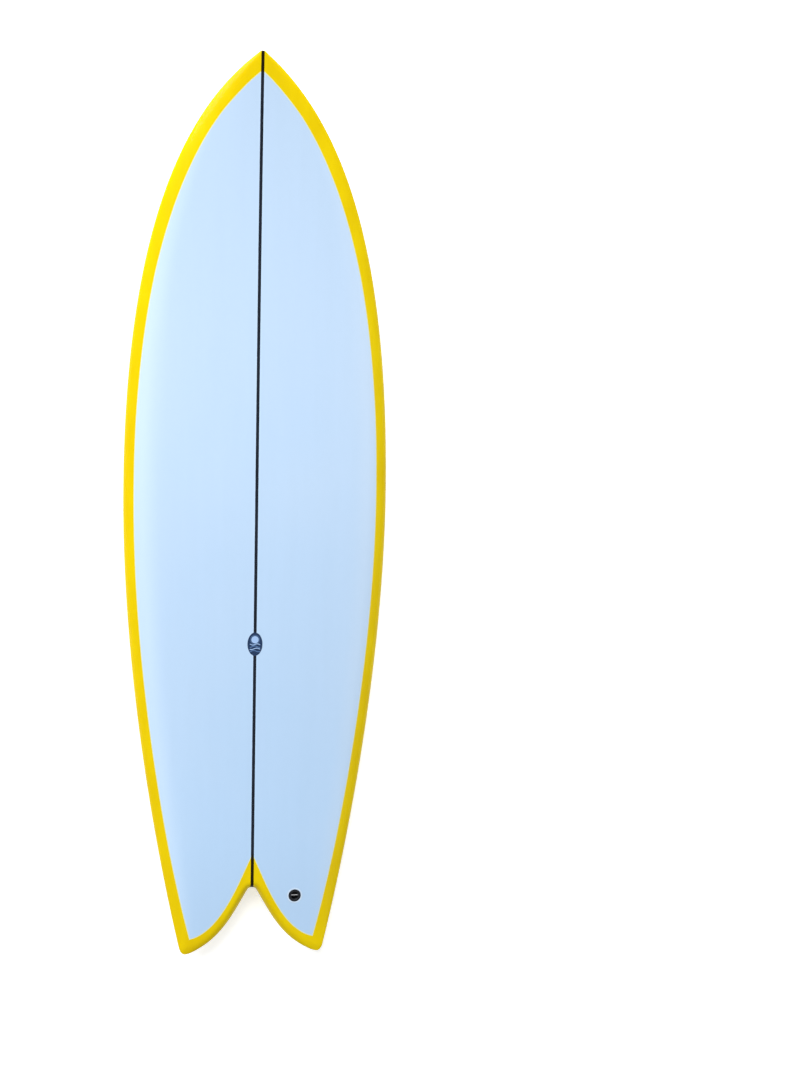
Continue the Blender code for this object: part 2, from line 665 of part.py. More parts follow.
def fin_box_mesh():
    body = put("fin_box", brick(BOX[0], BOX[1], 0.0002, BOX[2], BOX_CORNER), WHITE)
    flange = cutter("flange", slab(FLANGE[0], FLANGE[1], FLANGE[2], FLANGE[3], 20))
    cut(body, flange, operation="UNION")
    slot = cutter("slot", moved(brick(SLOT[0], SLOT[1], -0.004, SLOT[2], 0.0012, 2), Matrix.Translation((0, SLOT_Y, 0))))
    relief = cutter("relief", moved(rod(0.0072, -0.004, SLOT[2] + 0.0008, 12),
                                    Matrix.Translation((0, SLOT_Y - SLOT[0] / 2 + 0.0036, 0))))
    bore = cutter("bore", rod(BORE, -0.006, 0.0150, 12), SCREW_AXIS)
    holes = cutter("holes", perforations())
    cut(body, slot, relief, bore, holes)
    me = evaluated(body)
    for o in (flange, slot, relief, bore, holes):
        bpy.data.objects.remove(o, do_unlink=True)
    me.shade_smooth()
    me.set_sharp_from_angle(angle=math.radians(35))
    return me


def screw_mesh():
    z0, z1 = SCREW[2], SCREW[2] + SCREW[1]
    shank = put("fin_screw", join(rod(SCREW[0], z0, z1, 16)), STEEL)
    edge = shank.modifiers.new("chamfer", "BEVEL")
    edge.width, edge.segments, edge.limit_method, edge.angle_limit = 0.0005, 1, "ANGLE", math.radians(60)
    socket = cutter("socket", rod(HEX * 2 / math.sqrt(3), z0 - 0.002, z0 + 0.0028, 6))
    cut(shank, socket)
    me = evaluated(shank)
    bpy.data.objects.remove(socket, do_unlink=True)
    return me


def fin_frame(side):
    x, y = side * FIN_X, TAIL + FIN_Y
    slope = float(rocker(y + 1e-4) - rocker(y - 1e-4)) / 2e-4
    z = float(surface([x], [y], False)[0]) + 0.0001
    return (Matrix.Translation((x, y, z)) @ Matrix.Rotation(side * math.radians(FIN_TOE), 4, "Z")
            @ Matrix.Rotation(math.atan(slope), 4, "X"))


def stadium(length, width, n):
    pts = []
    for k in range(n):
        a = 2 * math.pi * (k + 0.5) / n
        pts.append((width / 2 * math.cos(a), width / 2 * math.sin(a) + math.copysign((length - width) / 2, math.sin(a))))
    return pts


def resin_cap(side):
    """Oval resin fill over the flange, flush with the bottom, open round the box's mouth."""
    n = 24
    frame, loops = fin_frame(side), []
    outer = stadium(OVAL[0], OVAL[1], n)
    w, h, c = (BOX[1] + 3 * GAP) / 2, (BOX[0] + 3 * GAP) / 2, BOX_CORNER + GAP
    straight = (OVAL[0] - OVAL[1]) / 2
    inner = []
    for x, y in outer:
        if abs(y) <= straight:
            inner.append((math.copysign(w, x), y * (h - c) / straight))
        else:
            a = math.atan2(abs(y) - straight, abs(x))
            inner.append((math.copysign(w - c + c * math.cos(a), x), math.copysign(h - c + c * math.sin(a), y)))
    for pts in (outer, inner):
        loops.append(np.array([tuple(frame @ Vector((a, b, 0)))[:2] for a, b in pts]))
    xy = np.vstack(loops)
    rows = [(k, (k + 1) % n, n + (k + 1) % n, n + k) for k in range(n)]
    return sheet(xy, rows, False, 0.0, 0.0012)


BOX_MESH, SCREW_MESH = fin_box_mesh(), screw_mesh()
pockets = {}
for side, name in ((-1, "left"), (1, "right")):
    frame = fin_frame(side)
    put("fin_box_" + name, BOX_MESH, None, matrix=frame)
    put("fin_box_resin_" + name, resin_cap(side), RESIN)
    pivot = bpy.data.objects.new("fin_screw_axis_" + name, None)
    PARTS.objects.link(pivot)
    pivot.matrix_world = frame @ SCREW_AXIS
    screw = put("fin_screw_" + name, SCREW_MESH, None)
    screw.parent = pivot
    pockets[name] = (
        cutter("fin_pocket_oval_" + name, slab(OVAL[0] + 2 * GAP, OVAL[1] + 2 * GAP, -0.006, FLANGE[3] + GAP, 24), frame),
        cutter("fin_pocket_body_" + name, brick(BOX[0] + 2 * GAP, BOX[1] + 2 * GAP, 0.0010, BOX[2] + GAP, BOX_CORNER + GAP), frame))

cut(foam_left, *pockets["left"])
cut(foam_right, *pockets["right"])
cut(rail_left, pockets["left"][0])
cut(rail_right, pockets["right"][0])
cut(bottom_laminate, pockets["left"][0], pockets["right"][0], label_recess)


# ---------------------------------------------------------------------- leash plug
def plug_frame():
    x, y, h = PLUG_X, TAIL + PLUG_Y, 0.004
    z = surface([x, x - h, x + h, x, x], [y, y, y, y - h, y + h], True)
    normal = Vector((-(z[2] - z[1]) / (2 * h), -(z[4] - z[3]) / (2 * h), 1.0)).normalized()
    across = Vector((1, 0, 0)) - normal * normal.x
    across.normalize()
    m = Matrix((across, normal.cross(across), normal)).transposed().to_4x4()
    return Matrix.Translation((x, y, float(z[0]))) @ m @ Matrix.Rotation(math.radians(PIN_TURN), 4, "Z")


def turned(profile, segments):
    """A profile of (radius, height) pairs, top to bottom down its outside, turned round Z."""
    bm = bmesh.new()
    vs = [bm.verts.new((r, 0.0, z)) for r, z in profile]
    for a, b in zip(vs[:-1], vs[1:]):
        bm.edges.new((a, b))
    bmesh.ops.spin(bm, geom=bm.verts[:] + bm.edges[:], cent=(0, 0, 0), axis=(0, 0, 1), angle=2 * math.pi,
                   steps=segments, use_merge=True)
    bmesh.ops.remove_doubles(bm, verts=bm.verts, dist=1e-7)
    bmesh.ops.recalc_face_normals(bm, faces=bm.faces)
    return bm


plug = plug_frame()
r, b = CUP[0] / 2, BOWL[0] / 2
cup = put("leash_cup", turned([(0.0, -BOWL[1]), (b - 0.003, -BOWL[1]), (b, -BOWL[1] + 0.003), (b, -0.0007), (b + 0.0007, 0.0),
                               (r, 0.0), (r, -CUP[1]), (0.0, -CUP[1])], 24), BLACK, matrix=plug)
lying = Matrix.Translation((0, 0, -PIN[2])) @ Matrix.Rotation(math.pi / 2, 4, "Y")
pin_hole = cutter("pin_hole", rod(PIN[0] + 2 * GAP, -PIN[1] / 2 - GAP, PIN[1] / 2 + GAP, 16), plug @ lying)
cut(cup, pin_hole)
put("leash_bar", rod(PIN[0], -PIN[1] / 2, PIN[1] / 2, 16), STEEL, matrix=plug @ lying)
R = PLUG_RESIN[0] / 2
put("leash_plug_resin", turned([(0.0, -CUP[1] - GAP), (r + GAP, -CUP[1] - GAP), (r + GAP, 0.0), (R, 0.0), (R, -PLUG_RESIN[1]),
                                (0.0, -PLUG_RESIN[1])], 24), RESIN, matrix=plug)
plug_pocket = cutter("plug_pocket", rod(PLUG_RESIN[0] + 2 * GAP, -PLUG_RESIN[1] - GAP, 0.008, 24), plug)
cut(foam_right, plug_pocket)
cut(deck_laminate, plug_pocket, emblem_recess)

bpy.context.view_layer.update()
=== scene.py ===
"""How the twin-keel fish looks: fine glassed skins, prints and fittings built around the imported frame."""
import math
import bpy
import bmesh
import numpy as np
from mathutils import Matrix, Vector


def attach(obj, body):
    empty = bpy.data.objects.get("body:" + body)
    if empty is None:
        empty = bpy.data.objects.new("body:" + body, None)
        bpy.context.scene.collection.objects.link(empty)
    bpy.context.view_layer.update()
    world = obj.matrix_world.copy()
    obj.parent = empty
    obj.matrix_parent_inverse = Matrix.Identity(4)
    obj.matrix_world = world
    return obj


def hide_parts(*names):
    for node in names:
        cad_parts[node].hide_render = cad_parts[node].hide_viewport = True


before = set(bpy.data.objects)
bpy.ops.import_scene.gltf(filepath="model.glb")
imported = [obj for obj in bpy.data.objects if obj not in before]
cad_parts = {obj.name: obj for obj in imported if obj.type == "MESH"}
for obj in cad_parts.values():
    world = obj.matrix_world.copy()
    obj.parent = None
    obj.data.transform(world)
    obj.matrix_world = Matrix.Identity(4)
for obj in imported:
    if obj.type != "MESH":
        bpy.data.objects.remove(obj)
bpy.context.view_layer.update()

# ------------------------------------------------------------ the board's own dimensions
LENGTH = 1.727
HALF_WIDTH = 0.2567
WIDE_POINT = 0.0435
NOSE_HANDLE = (0.1473, 0.1036)
WIDE_FORE = 0.4963
WIDE_AFT = 0.4013
TAIL_HALF = 0.1393
TAIL_HANDLE = (0.0308, 0.1202)
TIP_X = 0.1285
NOTCH_DEPTH = 0.1255
NOTCH_ANGLE = 30.3
NOSE_ROCKER = 0.115
TAIL_ROCKER = 0.045
FLAT_CENTRE = -0.015
FLAT_HALF = 0.075
THICKNESS = [(0.0, 0.012), (0.108, 0.028), (0.305, 0.0435), (0.60, 0.0575),
             (0.86, 0.062), (1.12, 0.0592), (1.422, 0.0405), (1.60, 0.0235), (1.727, 0.010)]
RAIL_APEX = [(0.0, 0.0055), (0.305, 0.0085), (0.86, 0.018), (1.422, 0.014), (1.727, 0.005)]
BOTTOM_TUCK = [(0.0, 0.006), (0.305, 0.009), (0.86, 0.030), (1.422, 0.022), (1.727, 0.006)]
CROWN = 0.45
CROWN_POWER = 2.2
DECK_ROUND = 0.27
NOTCH_ROUND_DECK = 0.014
NOTCH_ROUND_BOTTOM = 0.006
DECK_LAP = [(0.0, 0.0298), (0.05, 0.0298), (0.09, 0.0300), (0.14, 0.0287), (0.26, 0.0279), (0.37, 0.0262), (0.47, 0.0242),
            (0.575, 0.0230), (0.775, 0.0212), (1.0, 0.0210), (1.40, 0.0208), (1.60, 0.0209), (1.72, 0.0222), (1.90, 0.0255)]
BOTTOM_LAP = [(0.0, 0.0285), (0.12, 0.0250), (0.40, 0.0260), (1.70, 0.0260), (1.90, 0.0280)]
DECK_CORNER, DECK_PEAK = 0.0295, 0.1930
BOTTOM_CORNER, BOTTOM_PEAK = 0.036, 0.203
STRINGER = 0.0060
FIN_X, FIN_Y = 0.143, 0.232
FIN_TOE = 0.65
OVAL = (0.140, 0.033)
BOX = (0.123, 0.0140, 0.016)
SLOT = (0.097, 0.0061, 0.0130)
SLOT_Y = -0.0015
SCREW_Y = 0.0543
SCREW_TILT = 35.0
PLUG_X, PLUG_Y = 0.083, 0.1116
CUP = (0.0238, 0.0160)
BOWL = (0.0144, 0.0136)
PIN = (0.0040, 0.0206, 0.0036)
PIN_TURN = 0.5
PLUG_RESIN = (0.0300, 0.0180)
EMBLEM = (0.029, 0.0452, 0.6036)
LABEL = (-0.0905, -0.0035, 0.991, 1.116)
NOSE, TAIL = LENGTH / 2, -LENGTH / 2


# ------------------------------------------------------------------- outline and foil
def bezier(p, n):
    t = np.linspace(0.0, 1.0, n)[:, None]
    p = np.array(p, float)
    return (1 - t) ** 3 * p[0] + 3 * (1 - t) ** 2 * t * p[1] + 3 * (1 - t) * t ** 2 * p[2] + t ** 3 * p[3]


def chain(*curves):
    out = [curves[0]]
    for c in curves[1:]:
        out.append(c[1:])
    return np.vstack(out)


def nose_curve(n):
    fore = bezier([(0.0, NOSE + 0.0022), (NOSE_HANDLE[0], NOSE + 0.0022 - NOSE_HANDLE[1]),
                   (HALF_WIDTH, WIDE_POINT + WIDE_FORE), (HALF_WIDTH, WIDE_POINT)], n)
    k = max(2, int(0.022 * n))
    way = fore[k + 1] - fore[k]
    way /= np.linalg.norm(way)
    tip = bezier([(0.0, NOSE), (0.0052, NOSE), fore[k] - way * 0.0045, fore[k]], max(12, n // 20))
    return chain(tip, fore[k:])


def tail_curve(n):
    aft = bezier([(HALF_WIDTH, WIDE_POINT), (HALF_WIDTH, WIDE_POINT - WIDE_AFT),
                  (TAIL_HALF + TAIL_HANDLE[0], TAIL + 0.012 + TAIL_HANDLE[1]), (TAIL_HALF, TAIL + 0.012)], n)
    tip = bezier([(TAIL_HALF, TAIL + 0.012), (TAIL_HALF - 0.0018, TAIL + 0.0050),
                  (TIP_X + 0.0040, TAIL), (TIP_X, TAIL)], max(12, n // 20))
    return chain(aft, tip)


def notch_curve(n):
    a = math.radians(NOTCH_ANGLE)
    top = np.array([0.0092, TAIL + NOTCH_DEPTH - 0.0056])
    up = np.array([-math.sin(a), math.cos(a)])
    low, way = np.array([0.1145, TAIL + 0.0036]), np.array([-0.911, 0.413])
    tip = bezier([(TIP_X, TAIL), (TIP_X - 0.0037, TAIL), low - way * 0.0052, low], max(10, n // 20))
    edge = bezier([low, low + way * 0.060, top - up * 0.060, top], n)
    apex = bezier([top, top + up * 0.0050, (0.0042, TAIL + NOTCH_DEPTH), (0.0, TAIL + NOTCH_DEPTH)], max(8, n // 12))
    return chain(tip, edge, apex)


FINE = 500
NOSE_SIDE, TAIL_SIDE, NOTCH_SIDE = nose_curve(FINE), tail_curve(FINE), notch_curve(240)
OUTER = chain(NOSE_SIDE, TAIL_SIDE)
NOTCH_LONG = np.vstack([[TIP_X + 0.05, TAIL], NOTCH_SIDE])


def length_along(line):
    return np.concatenate([[0.0], np.cumsum(np.linalg.norm(np.diff(line, axis=0), axis=1))])


def distance(x, y, line):
    a, b = line[:-1], line[1:]
    ab = b - a
    flat_x, flat_y = np.ravel(x), np.ravel(y)
    out = np.empty(len(flat_x))
    for i in range(0, len(flat_x), 1500):
        px, py = flat_x[i:i + 1500, None], flat_y[i:i + 1500, None]
        t = np.clip(((px - a[:, 0]) * ab[:, 0] + (py - a[:, 1]) * ab[:, 1]) / (ab ** 2).sum(axis=1), 0.0, 1.0)
        dx, dy = px - a[:, 0] - t * ab[:, 0], py - a[:, 1] - t * ab[:, 1]
        out[i:i + 1500] = np.sqrt((dx * dx + dy * dy).min(axis=1))
    return out.reshape(np.shape(x))


def spline(stations):
    xs, ys = np.array(stations).T
    n, h = len(xs), np.diff(xs)
    m, r = np.eye(n), np.zeros(n)
    for i in range(1, n - 1):
        m[i, i - 1], m[i, i], m[i, i + 1] = h[i - 1], 2 * (h[i - 1] + h[i]), h[i]
        r[i] = 6 * ((ys[i + 1] - ys[i]) / h[i] - (ys[i] - ys[i - 1]) / h[i - 1])
    k = np.linalg.solve(m, r)

    def value(y):
        q = np.clip(np.asarray(y, float) - TAIL, xs[0], xs[-1])
        i = np.clip(np.searchsorted(xs, q) - 1, 0, n - 2)
        a, b = xs[i + 1] - q, q - xs[i]
        return ((k[i] * a ** 3 + k[i + 1] * b ** 3) / (6 * h[i]) + (ys[i] / h[i] - k[i] * h[i] / 6) * a
                + (ys[i + 1] / h[i] - k[i + 1] * h[i] / 6) * b)
    return value


thickness, rail_apex, bottom_tuck = spline(THICKNESS), spline(RAIL_APEX), spline(BOTTOM_TUCK)


def rocker(y):
    fore = np.clip((y - FLAT_CENTRE - FLAT_HALF) / (NOSE - FLAT_CENTRE - FLAT_HALF), 0.0, None)
    aft = np.clip((FLAT_CENTRE - FLAT_HALF - y) / (FLAT_CENTRE - FLAT_HALF - TAIL), 0.0, None)
    return NOSE_ROCKER * fore ** 2.4 + TAIL_ROCKER * aft ** 2.2


ORDER = np.argsort(OUTER[:, 1])


def half_width(y):
    return np.maximum(np.interp(y, OUTER[ORDER, 1], OUTER[ORDER, 0]), 0.012)


def swell(d, radius):
    return np.sqrt(np.clip(1.0 - (1.0 - np.clip(d / radius, 0.0, 1.0)) ** 2, 0.0, 1.0))


def surface(x, y, deck):
    """Height of the finished deck or bottom over a plan point."""
    x, y = np.abs(np.asarray(x, float)), np.asarray(y, float)
    w = half_width(y)
    base, apex = rocker(y), rail_apex(y)
    d_out, d_notch = distance(x, y, OUTER), distance(x, y, NOTCH_LONG)
    if deck:
        crown = 1.0 - CROWN * np.clip(x / w, 0.0, 1.05) ** CROWN_POWER
        return base + apex + (thickness(y) - apex) * crown * swell(d_out, DECK_ROUND * w) * swell(d_notch, NOTCH_ROUND_DECK)
    tuck = np.minimum(bottom_tuck(y), 0.5 * w)
    return base + apex - apex * swell(d_out, tuck) * swell(d_notch, NOTCH_ROUND_BOTTOM)


# ------------------------------------------------------------- stations and lap lines
LOBE = 0.0056


def stations():
    pts, nrm = [], []
    for k, line in enumerate((NOSE_SIDE, TAIL_SIDE, NOTCH_SIDE)):
        s = length_along(line)
        g = np.gradient(line, s, axis=0)
        g /= np.linalg.norm(g, axis=1)[:, None]
        bend = np.linalg.norm(np.gradient(g, s, axis=0), axis=1)
        step = np.clip(np.sqrt(8 * 0.00003 / np.maximum(bend, 1e-3)), 0.0012, 0.011)
        if k == 1:
            step = np.where(line[:, 1] < TAIL + 0.20, np.minimum(step, LOBE), step)
        if k == 2:
            step = np.minimum(step, LOBE * 1.1)
        count = np.concatenate([[0.0], np.cumsum(np.diff(s) * 0.5 * (1 / step[1:] + 1 / step[:-1]))])
        n = int(math.ceil(count[-1]))
        at = np.interp(np.linspace(0, count[-1], n + 1), count, s)
        p = np.column_stack([np.interp(at, s, line[:, 0]), np.interp(at, s, line[:, 1])])
        t = np.column_stack([np.interp(at, s, g[:, 0]), np.interp(at, s, g[:, 1])])
        t /= np.linalg.norm(t, axis=1)[:, None]
        q = np.column_stack([t[:, 1], -t[:, 0]])
        if k == 0:
            q[0] = (0.0, -1.0)
        if k == 2:
            q[-1] = (0.0, 1.0)
        pts.append(p if k == 0 else p[1:])
        nrm.append(q if k == 0 else q[1:])
    sizes = [len(p) for p in pts]
    return np.vstack(pts), np.vstack(nrm), sizes[0] + sizes[1]


EDGE, INWARD, FIRST_NOTCH = stations()


def lap(widths, corner_y, peak_y, corner_out, corner_in):
    s = length_along(EDGE)
    w = np.interp(s, [a for a, b in widths], [b for a, b in widths])
    off = EDGE + INWARD * w[:, None]
    line, joins, i = [], [], 0
    while off[i + 1, 0] < 0.0:
        i += 1
    t = off[i, 0] / (off[i, 0] - off[i + 1, 0])
    line.append((0.0, off[i, 1] + t * (off[i + 1, 1] - off[i, 1])))
    joins += [0] * (i + 1)
    i += 1
    low = TAIL + corner_y
    while off[i, 1] > low + 0.0015:
        joins.append(len(line))
        line.append(tuple(off[i]))
        i += 1
    t = (off[i - 1, 1] - low) / (off[i - 1, 1] - off[i, 1])
    corner = off[i - 1] + t * (off[i] - off[i - 1])
    c = len(line)
    line.append(tuple(corner))
    foot = FIRST_NOTCH + int(np.argmin(np.linalg.norm(EDGE[FIRST_NOTCH:] - corner, axis=1)))
    while i <= foot:
        joins.append(c)
        i += 1
    peak = np.array([0.0, TAIL + peak_y])
    n = len(EDGE) - 1 - foot
    inner = bezier([corner, corner + np.array(corner_out), peak + np.array(corner_in), peak], 400)
    si, se = length_along(inner), s[foot:] - s[foot]
    for k in range(1, n + 1):
        at = si[-1] * se[k] / se[-1]
        joins.append(len(line))
        line.append((np.interp(at, si, inner[:, 0]), np.interp(at, si, inner[:, 1])))
    line[-1] = tuple(peak)
    return np.array(line), np.array(joins), c


def widen(line, by):
    out = line.copy()
    d = np.diff(line, axis=0)
    d /= np.linalg.norm(d, axis=1)[:, None]
    n = np.column_stack([d[:, 1], -d[:, 0]])
    for i in range(1, len(line) - 1):
        m = n[i - 1] + n[i]
        out[i] += by * m / max(0.35, 1.0 + float(n[i - 1] @ n[i]))
    out[0, 1] += by * (1.0 / n[0, 1])
    out[-1, 1] += by * (1.0 / n[-1, 1])
    return out


DECK_LINE, DECK_JOIN, DECK_C = lap(DECK_LAP, DECK_CORNER, DECK_PEAK, (-0.0644, 0.0148), (0.0209, -0.0393))
BOTTOM_LINE, BOTTOM_JOIN, BOTTOM_C = lap(BOTTOM_LAP, BOTTOM_CORNER, BOTTOM_PEAK, (-0.0475, 0.0020), (0.0268, -0.0601))
LAP_EDGE = 0.0013

DECK_TAG, BOTTOM_TAG, RAIL_TAG, LINE_DECK, LINE_BOTTOM, LINE_RAIL, EDGE_TAG, CUT_TAG = range(8)


# ------------------------------------------------------- one closed skin, with tagged faces
class Shell:
    def __init__(self):
        self.v, self.f, self.tag = [], [], []

    def points(self, x, y, z):
        start = len(self.v)
        self.v += list(zip(np.ravel(x), np.ravel(y), np.ravel(z)))
        return start

    def face(self, ids, tag, flip):
        out = []
        for k in ids:
            if not out or out[-1] != k:
                out.append(k)
        if out[0] == out[-1]:
            out.pop()
        if len(out) > 2 and len(set(out)) == len(out):
            self.f.append(tuple(out[::-1]) if flip else tuple(out))
            self.tag.append(tag)

    def grid(self, rows, tag, flip):
        for r0, r1 in zip(rows[:-1], rows[1:]):
            for k in range(len(r0) - 1):
                self.face((r0[k], r0[k + 1], r1[k + 1], r1[k]), tag, flip)

    def side(self, line, joins, corner, deck, rim_ids, steps, columns):
        z = surface(line[:, 0], line[:, 1], deck)
        lap_ids = self.points(line[:, 0], line[:, 1], z) + np.arange(len(line))
        fr = steps[1:-1]
        q = (EDGE[:, None, :] + fr[None, :, None] * (line[joins][:, None, :] - EDGE[:, None, :]))
        z = surface(q[..., 0], q[..., 1], deck)
        start = self.points(q[..., 0], q[..., 1], z)
        rows = [[int(rim_ids[i])] + [start + i * len(fr) + k for k in range(len(fr))] + [int(lap_ids[joins[i]])]
                for i in range(len(EDGE))]
        self.grid(rows, RAIL_TAG, not deck)
        inside = widen(line, LAP_EDGE)
        z = surface(inside[:, 0], inside[:, 1], deck)
        in_ids = self.points(inside[:, 0], inside[:, 1], z) + np.arange(len(inside))
        self.grid([list(map(int, lap_ids)), list(map(int, in_ids))], EDGE_TAG, deck)
        line = inside
        lobes = len(line) - 1 - corner
        top, split = line[0, 1], line[corner - lobes, 1]
        rows = [[int(in_ids[0])] * len(columns)]
        lefts, left_ids, spots = [], [], []
        for i in range(1, corner):
            right, back = line[i], corner - i
            if back < lobes:
                left, lid = line[corner + back], int(in_ids[corner + back])
            elif back == lobes:
                left, lid = line[-1], int(in_ids[-1])
            else:
                y = line[-1, 1] + (right[1] - split) / (top - split) * (top - line[-1, 1])
                left, lid = np.array([0.0, y]), None
            lefts.append(left)
            left_ids.append(lid)
            spots.append(i)
        lefts = np.array(lefts)
        fresh = [k for k, lid in enumerate(left_ids) if lid is None]
        z = surface(lefts[fresh][:, 0], lefts[fresh][:, 1], deck)
        start = self.points(lefts[fresh][:, 0], lefts[fresh][:, 1], z)
        for k, at in enumerate(fresh):
            left_ids[at] = start + k
        mid = columns[1:-1]
        q = lefts[:, None, :] + mid[None, :, None] * (line[spots][:, None, :] - lefts[:, None, :])
        z = surface(q[..., 0], q[..., 1], deck)
        start = self.points(q[..., 0], q[..., 1], z)
        for k, i in enumerate(spots):
            rows.append([left_ids[k]] + [start + k * len(mid) + c for c in range(len(mid))] + [int(in_ids[i])])
        rows.append([int(in_ids[corner])] * len(columns))
        self.grid(rows, DECK_TAG if deck else BOTTOM_TAG, deck)

    def closed(self):
        """Both halves as one mesh, welded along the centre line."""
        v = np.array(self.v)
        centre = np.abs(v[:, 0]) < 1e-7
        other = np.arange(len(v))
        other[~centre] = len(v) + np.arange(int((~centre).sum()))
        w = v[~centre] * (-1, 1, 1)
        faces = self.f + [tuple(int(other[k]) for k in f[::-1]) for f in self.f]
        me = bpy.data.meshes.new("shell")
        me.from_pydata([tuple(p) for p in np.vstack([v, w])], [], faces)
        for i in range(8):
            me.materials.append(bpy.data.materials.new("tag_%d" % i))
        me.polygons.foreach_set("material_index", self.tag + self.tag)
        return me


def build_shell():
    s = Shell()
    z = rocker(EDGE[:, 1]) + rail_apex(EDGE[:, 1])
    rim = s.points(EDGE[:, 0], EDGE[:, 1], z) + np.arange(len(EDGE))
    s.side(DECK_LINE, DECK_JOIN, DECK_C, True, rim, np.linspace(0, 1, 15) ** 2.1, 1 - (1 - np.linspace(0, 1, 21)) ** 1.35)
    s.side(BOTTOM_LINE, BOTTOM_JOIN, BOTTOM_C, False, rim, np.linspace(0, 1, 13) ** 2.1, 1 - (1 - np.linspace(0, 1, 17)) ** 1.25)
    me = s.closed()
    bm = bmesh.new()
    bm.from_mesh(me)
    for side in (-1, 1):
        bmesh.ops.bisect_plane(bm, geom=bm.verts[:] + bm.edges[:] + bm.faces[:], dist=2e-5,
                               plane_co=(side * STRINGER / 2, 0, 0), plane_no=(1, 0, 0))
    swap = {DECK_TAG: LINE_DECK, BOTTOM_TAG: LINE_BOTTOM, RAIL_TAG: LINE_RAIL, EDGE_TAG: LINE_RAIL}
    for f in bm.faces:
        if abs(f.calc_center_median().x) < STRINGER / 2:
            f.material_index = swap[f.material_index]
    bmesh.ops.remove_doubles(bm, verts=bm.verts, dist=1e-6)
    bm.to_mesh(me)
    bm.free()
    return me


# --------------------------------------------------------------------------- fittings' frames
def fin_frame(side):
    x, y = side * FIN_X, TAIL + FIN_Y
    slope = float(rocker(y + 1e-4) - rocker(y - 1e-4)) / 2e-4
    z = float(surface([x], [y], False)[0]) + 0.0001
    return (Matrix.Translation((x, y, z)) @ Matrix.Rotation(side * math.radians(FIN_TOE), 4, "Z")
            @ Matrix.Rotation(math.atan(slope), 4, "X"))


SCREW_AXIS = Matrix.Translation((0, SCREW_Y, 0)) @ Matrix.Rotation(math.radians(SCREW_TILT), 4, "X")


def plug_frame():
    x, y, h = PLUG_X, TAIL + PLUG_Y, 0.004
    z = surface([x, x - h, x + h, x, x], [y, y, y, y - h, y + h], True)
    normal = Vector((-(z[2] - z[1]) / (2 * h), -(z[4] - z[3]) / (2 * h), 1.0)).normalized()
    across = Vector((1, 0, 0)) - normal * normal.x
    across.normalize()
    m = Matrix((across, normal.cross(across), normal)).transposed().to_4x4()
    return Matrix.Translation((x, y, float(z[0]))) @ m @ Matrix.Rotation(math.radians(PIN_TURN), 4, "Z")


def stadium(length, width, n):
    """Slot shape with round ends, its long side along Y."""
    pts, h = [], (length - width) / 2
    for end in (1, -1):
        for k in range(n + 1):
            a = math.pi * k / n
            pts.append((end * width / 2 * math.cos(a), end * (width / 2 * math.sin(a) + h)))
    return pts


def rounded(length, width, r, n=6):
    pts = []
    for k, (sx, sy) in enumerate(((1, 1), (-1, 1), (-1, -1), (1, -1))):
        cx, cy = sx * (width / 2 - r), sy * (length / 2 - r)
        for j in range(n + 1):
            a = math.pi / 2 * (k + j / n)
            pts.append((cx + r * math.cos(a), cy + r * math.sin(a)))
    return pts


def densify(outline, step):
    out = []
    for (ax, ay), (bx, by) in zip(outline, outline[1:] + outline[:1]):
        k = max(1, int(math.ceil(math.hypot(bx - ax, by - ay) / step)))
        out += [(ax + (bx - ax) * i / k, ay + (by - ay) * i / k) for i in range(k)]
    return out


def prism(outline, z0, z1, shift=(0, 0)):
    bm = bmesh.new()
    low = [bm.verts.new((x + shift[0], y + shift[1], z0)) for x, y in outline]
    top = [bm.verts.new((x + shift[0], y + shift[1], z1)) for x, y in outline]
    bm.faces.new(low[::-1])
    bm.faces.new(top)
    for k in range(len(outline)):
        j = (k + 1) % len(outline)
        bm.faces.new((low[k], low[j], top[j], top[k]))
    return bm


def circle(d, n):
    return [(d / 2 * math.cos(2 * math.pi * k / n), d / 2 * math.sin(2 * math.pi * k / n)) for k in range(n)]


def merged(*bms):
    whole = bmesh.new()
    for b in bms:
        me = bpy.data.meshes.new("bit")
        b.to_mesh(me)
        b.free()
        whole.from_mesh(me)
        bpy.data.meshes.remove(me)
    return whole


def moved(bm, matrix):
    bmesh.ops.transform(bm, matrix=matrix, verts=bm.verts)
    return bm


def temp(bm_or_mesh, matrix=None, tag=None):
    """A helper object for a Boolean."""
    if isinstance(bm_or_mesh, bmesh.types.BMesh):
        me = bpy.data.meshes.new("temp")
        bm_or_mesh.to_mesh(me)
        bm_or_mesh.free()
    else:
        me = bm_or_mesh
    if tag is not None:
        for i in range(8):
            me.materials.append(bpy.data.materials["tag_%d" % i])
        me.polygons.foreach_set("material_index", [tag] * len(me.polygons))
    o = bpy.data.objects.new("temp", me)
    bpy.context.scene.collection.objects.link(o)
    if matrix is not None:
        o.matrix_world = matrix
    return o


def carve(base, tools, bevel=None, union=()):
    """base with the union pieces added and the tools cut out, as a finished mesh."""
    for t in list(union) + list(tools):
        m = base.modifiers.new("cut", "BOOLEAN")
        m.operation, m.object, m.solver = "UNION" if t in union else "DIFFERENCE", t, "EXACT"
    if bevel:
        m = base.modifiers.new("bevel", "BEVEL")
        m.width, m.segments, m.limit_method, m.angle_limit = bevel, 2, "ANGLE", math.radians(50)
        m.use_clamp_overlap = True
    bpy.context.view_layer.update()
    me = bpy.data.meshes.new_from_object(base.evaluated_get(bpy.context.evaluated_depsgraph_get()))
    for o in [base] + list(tools) + list(union):
        bpy.data.objects.remove(o, do_unlink=True)
    return me


# ------------------------------------------------------------------------------ materials
def lin(*rgb):
    return tuple((c / 255 / 12.92) if c / 255 <= 0.04045 else ((c / 255 + 0.055) / 1.055) ** 2.4 for c in rgb)


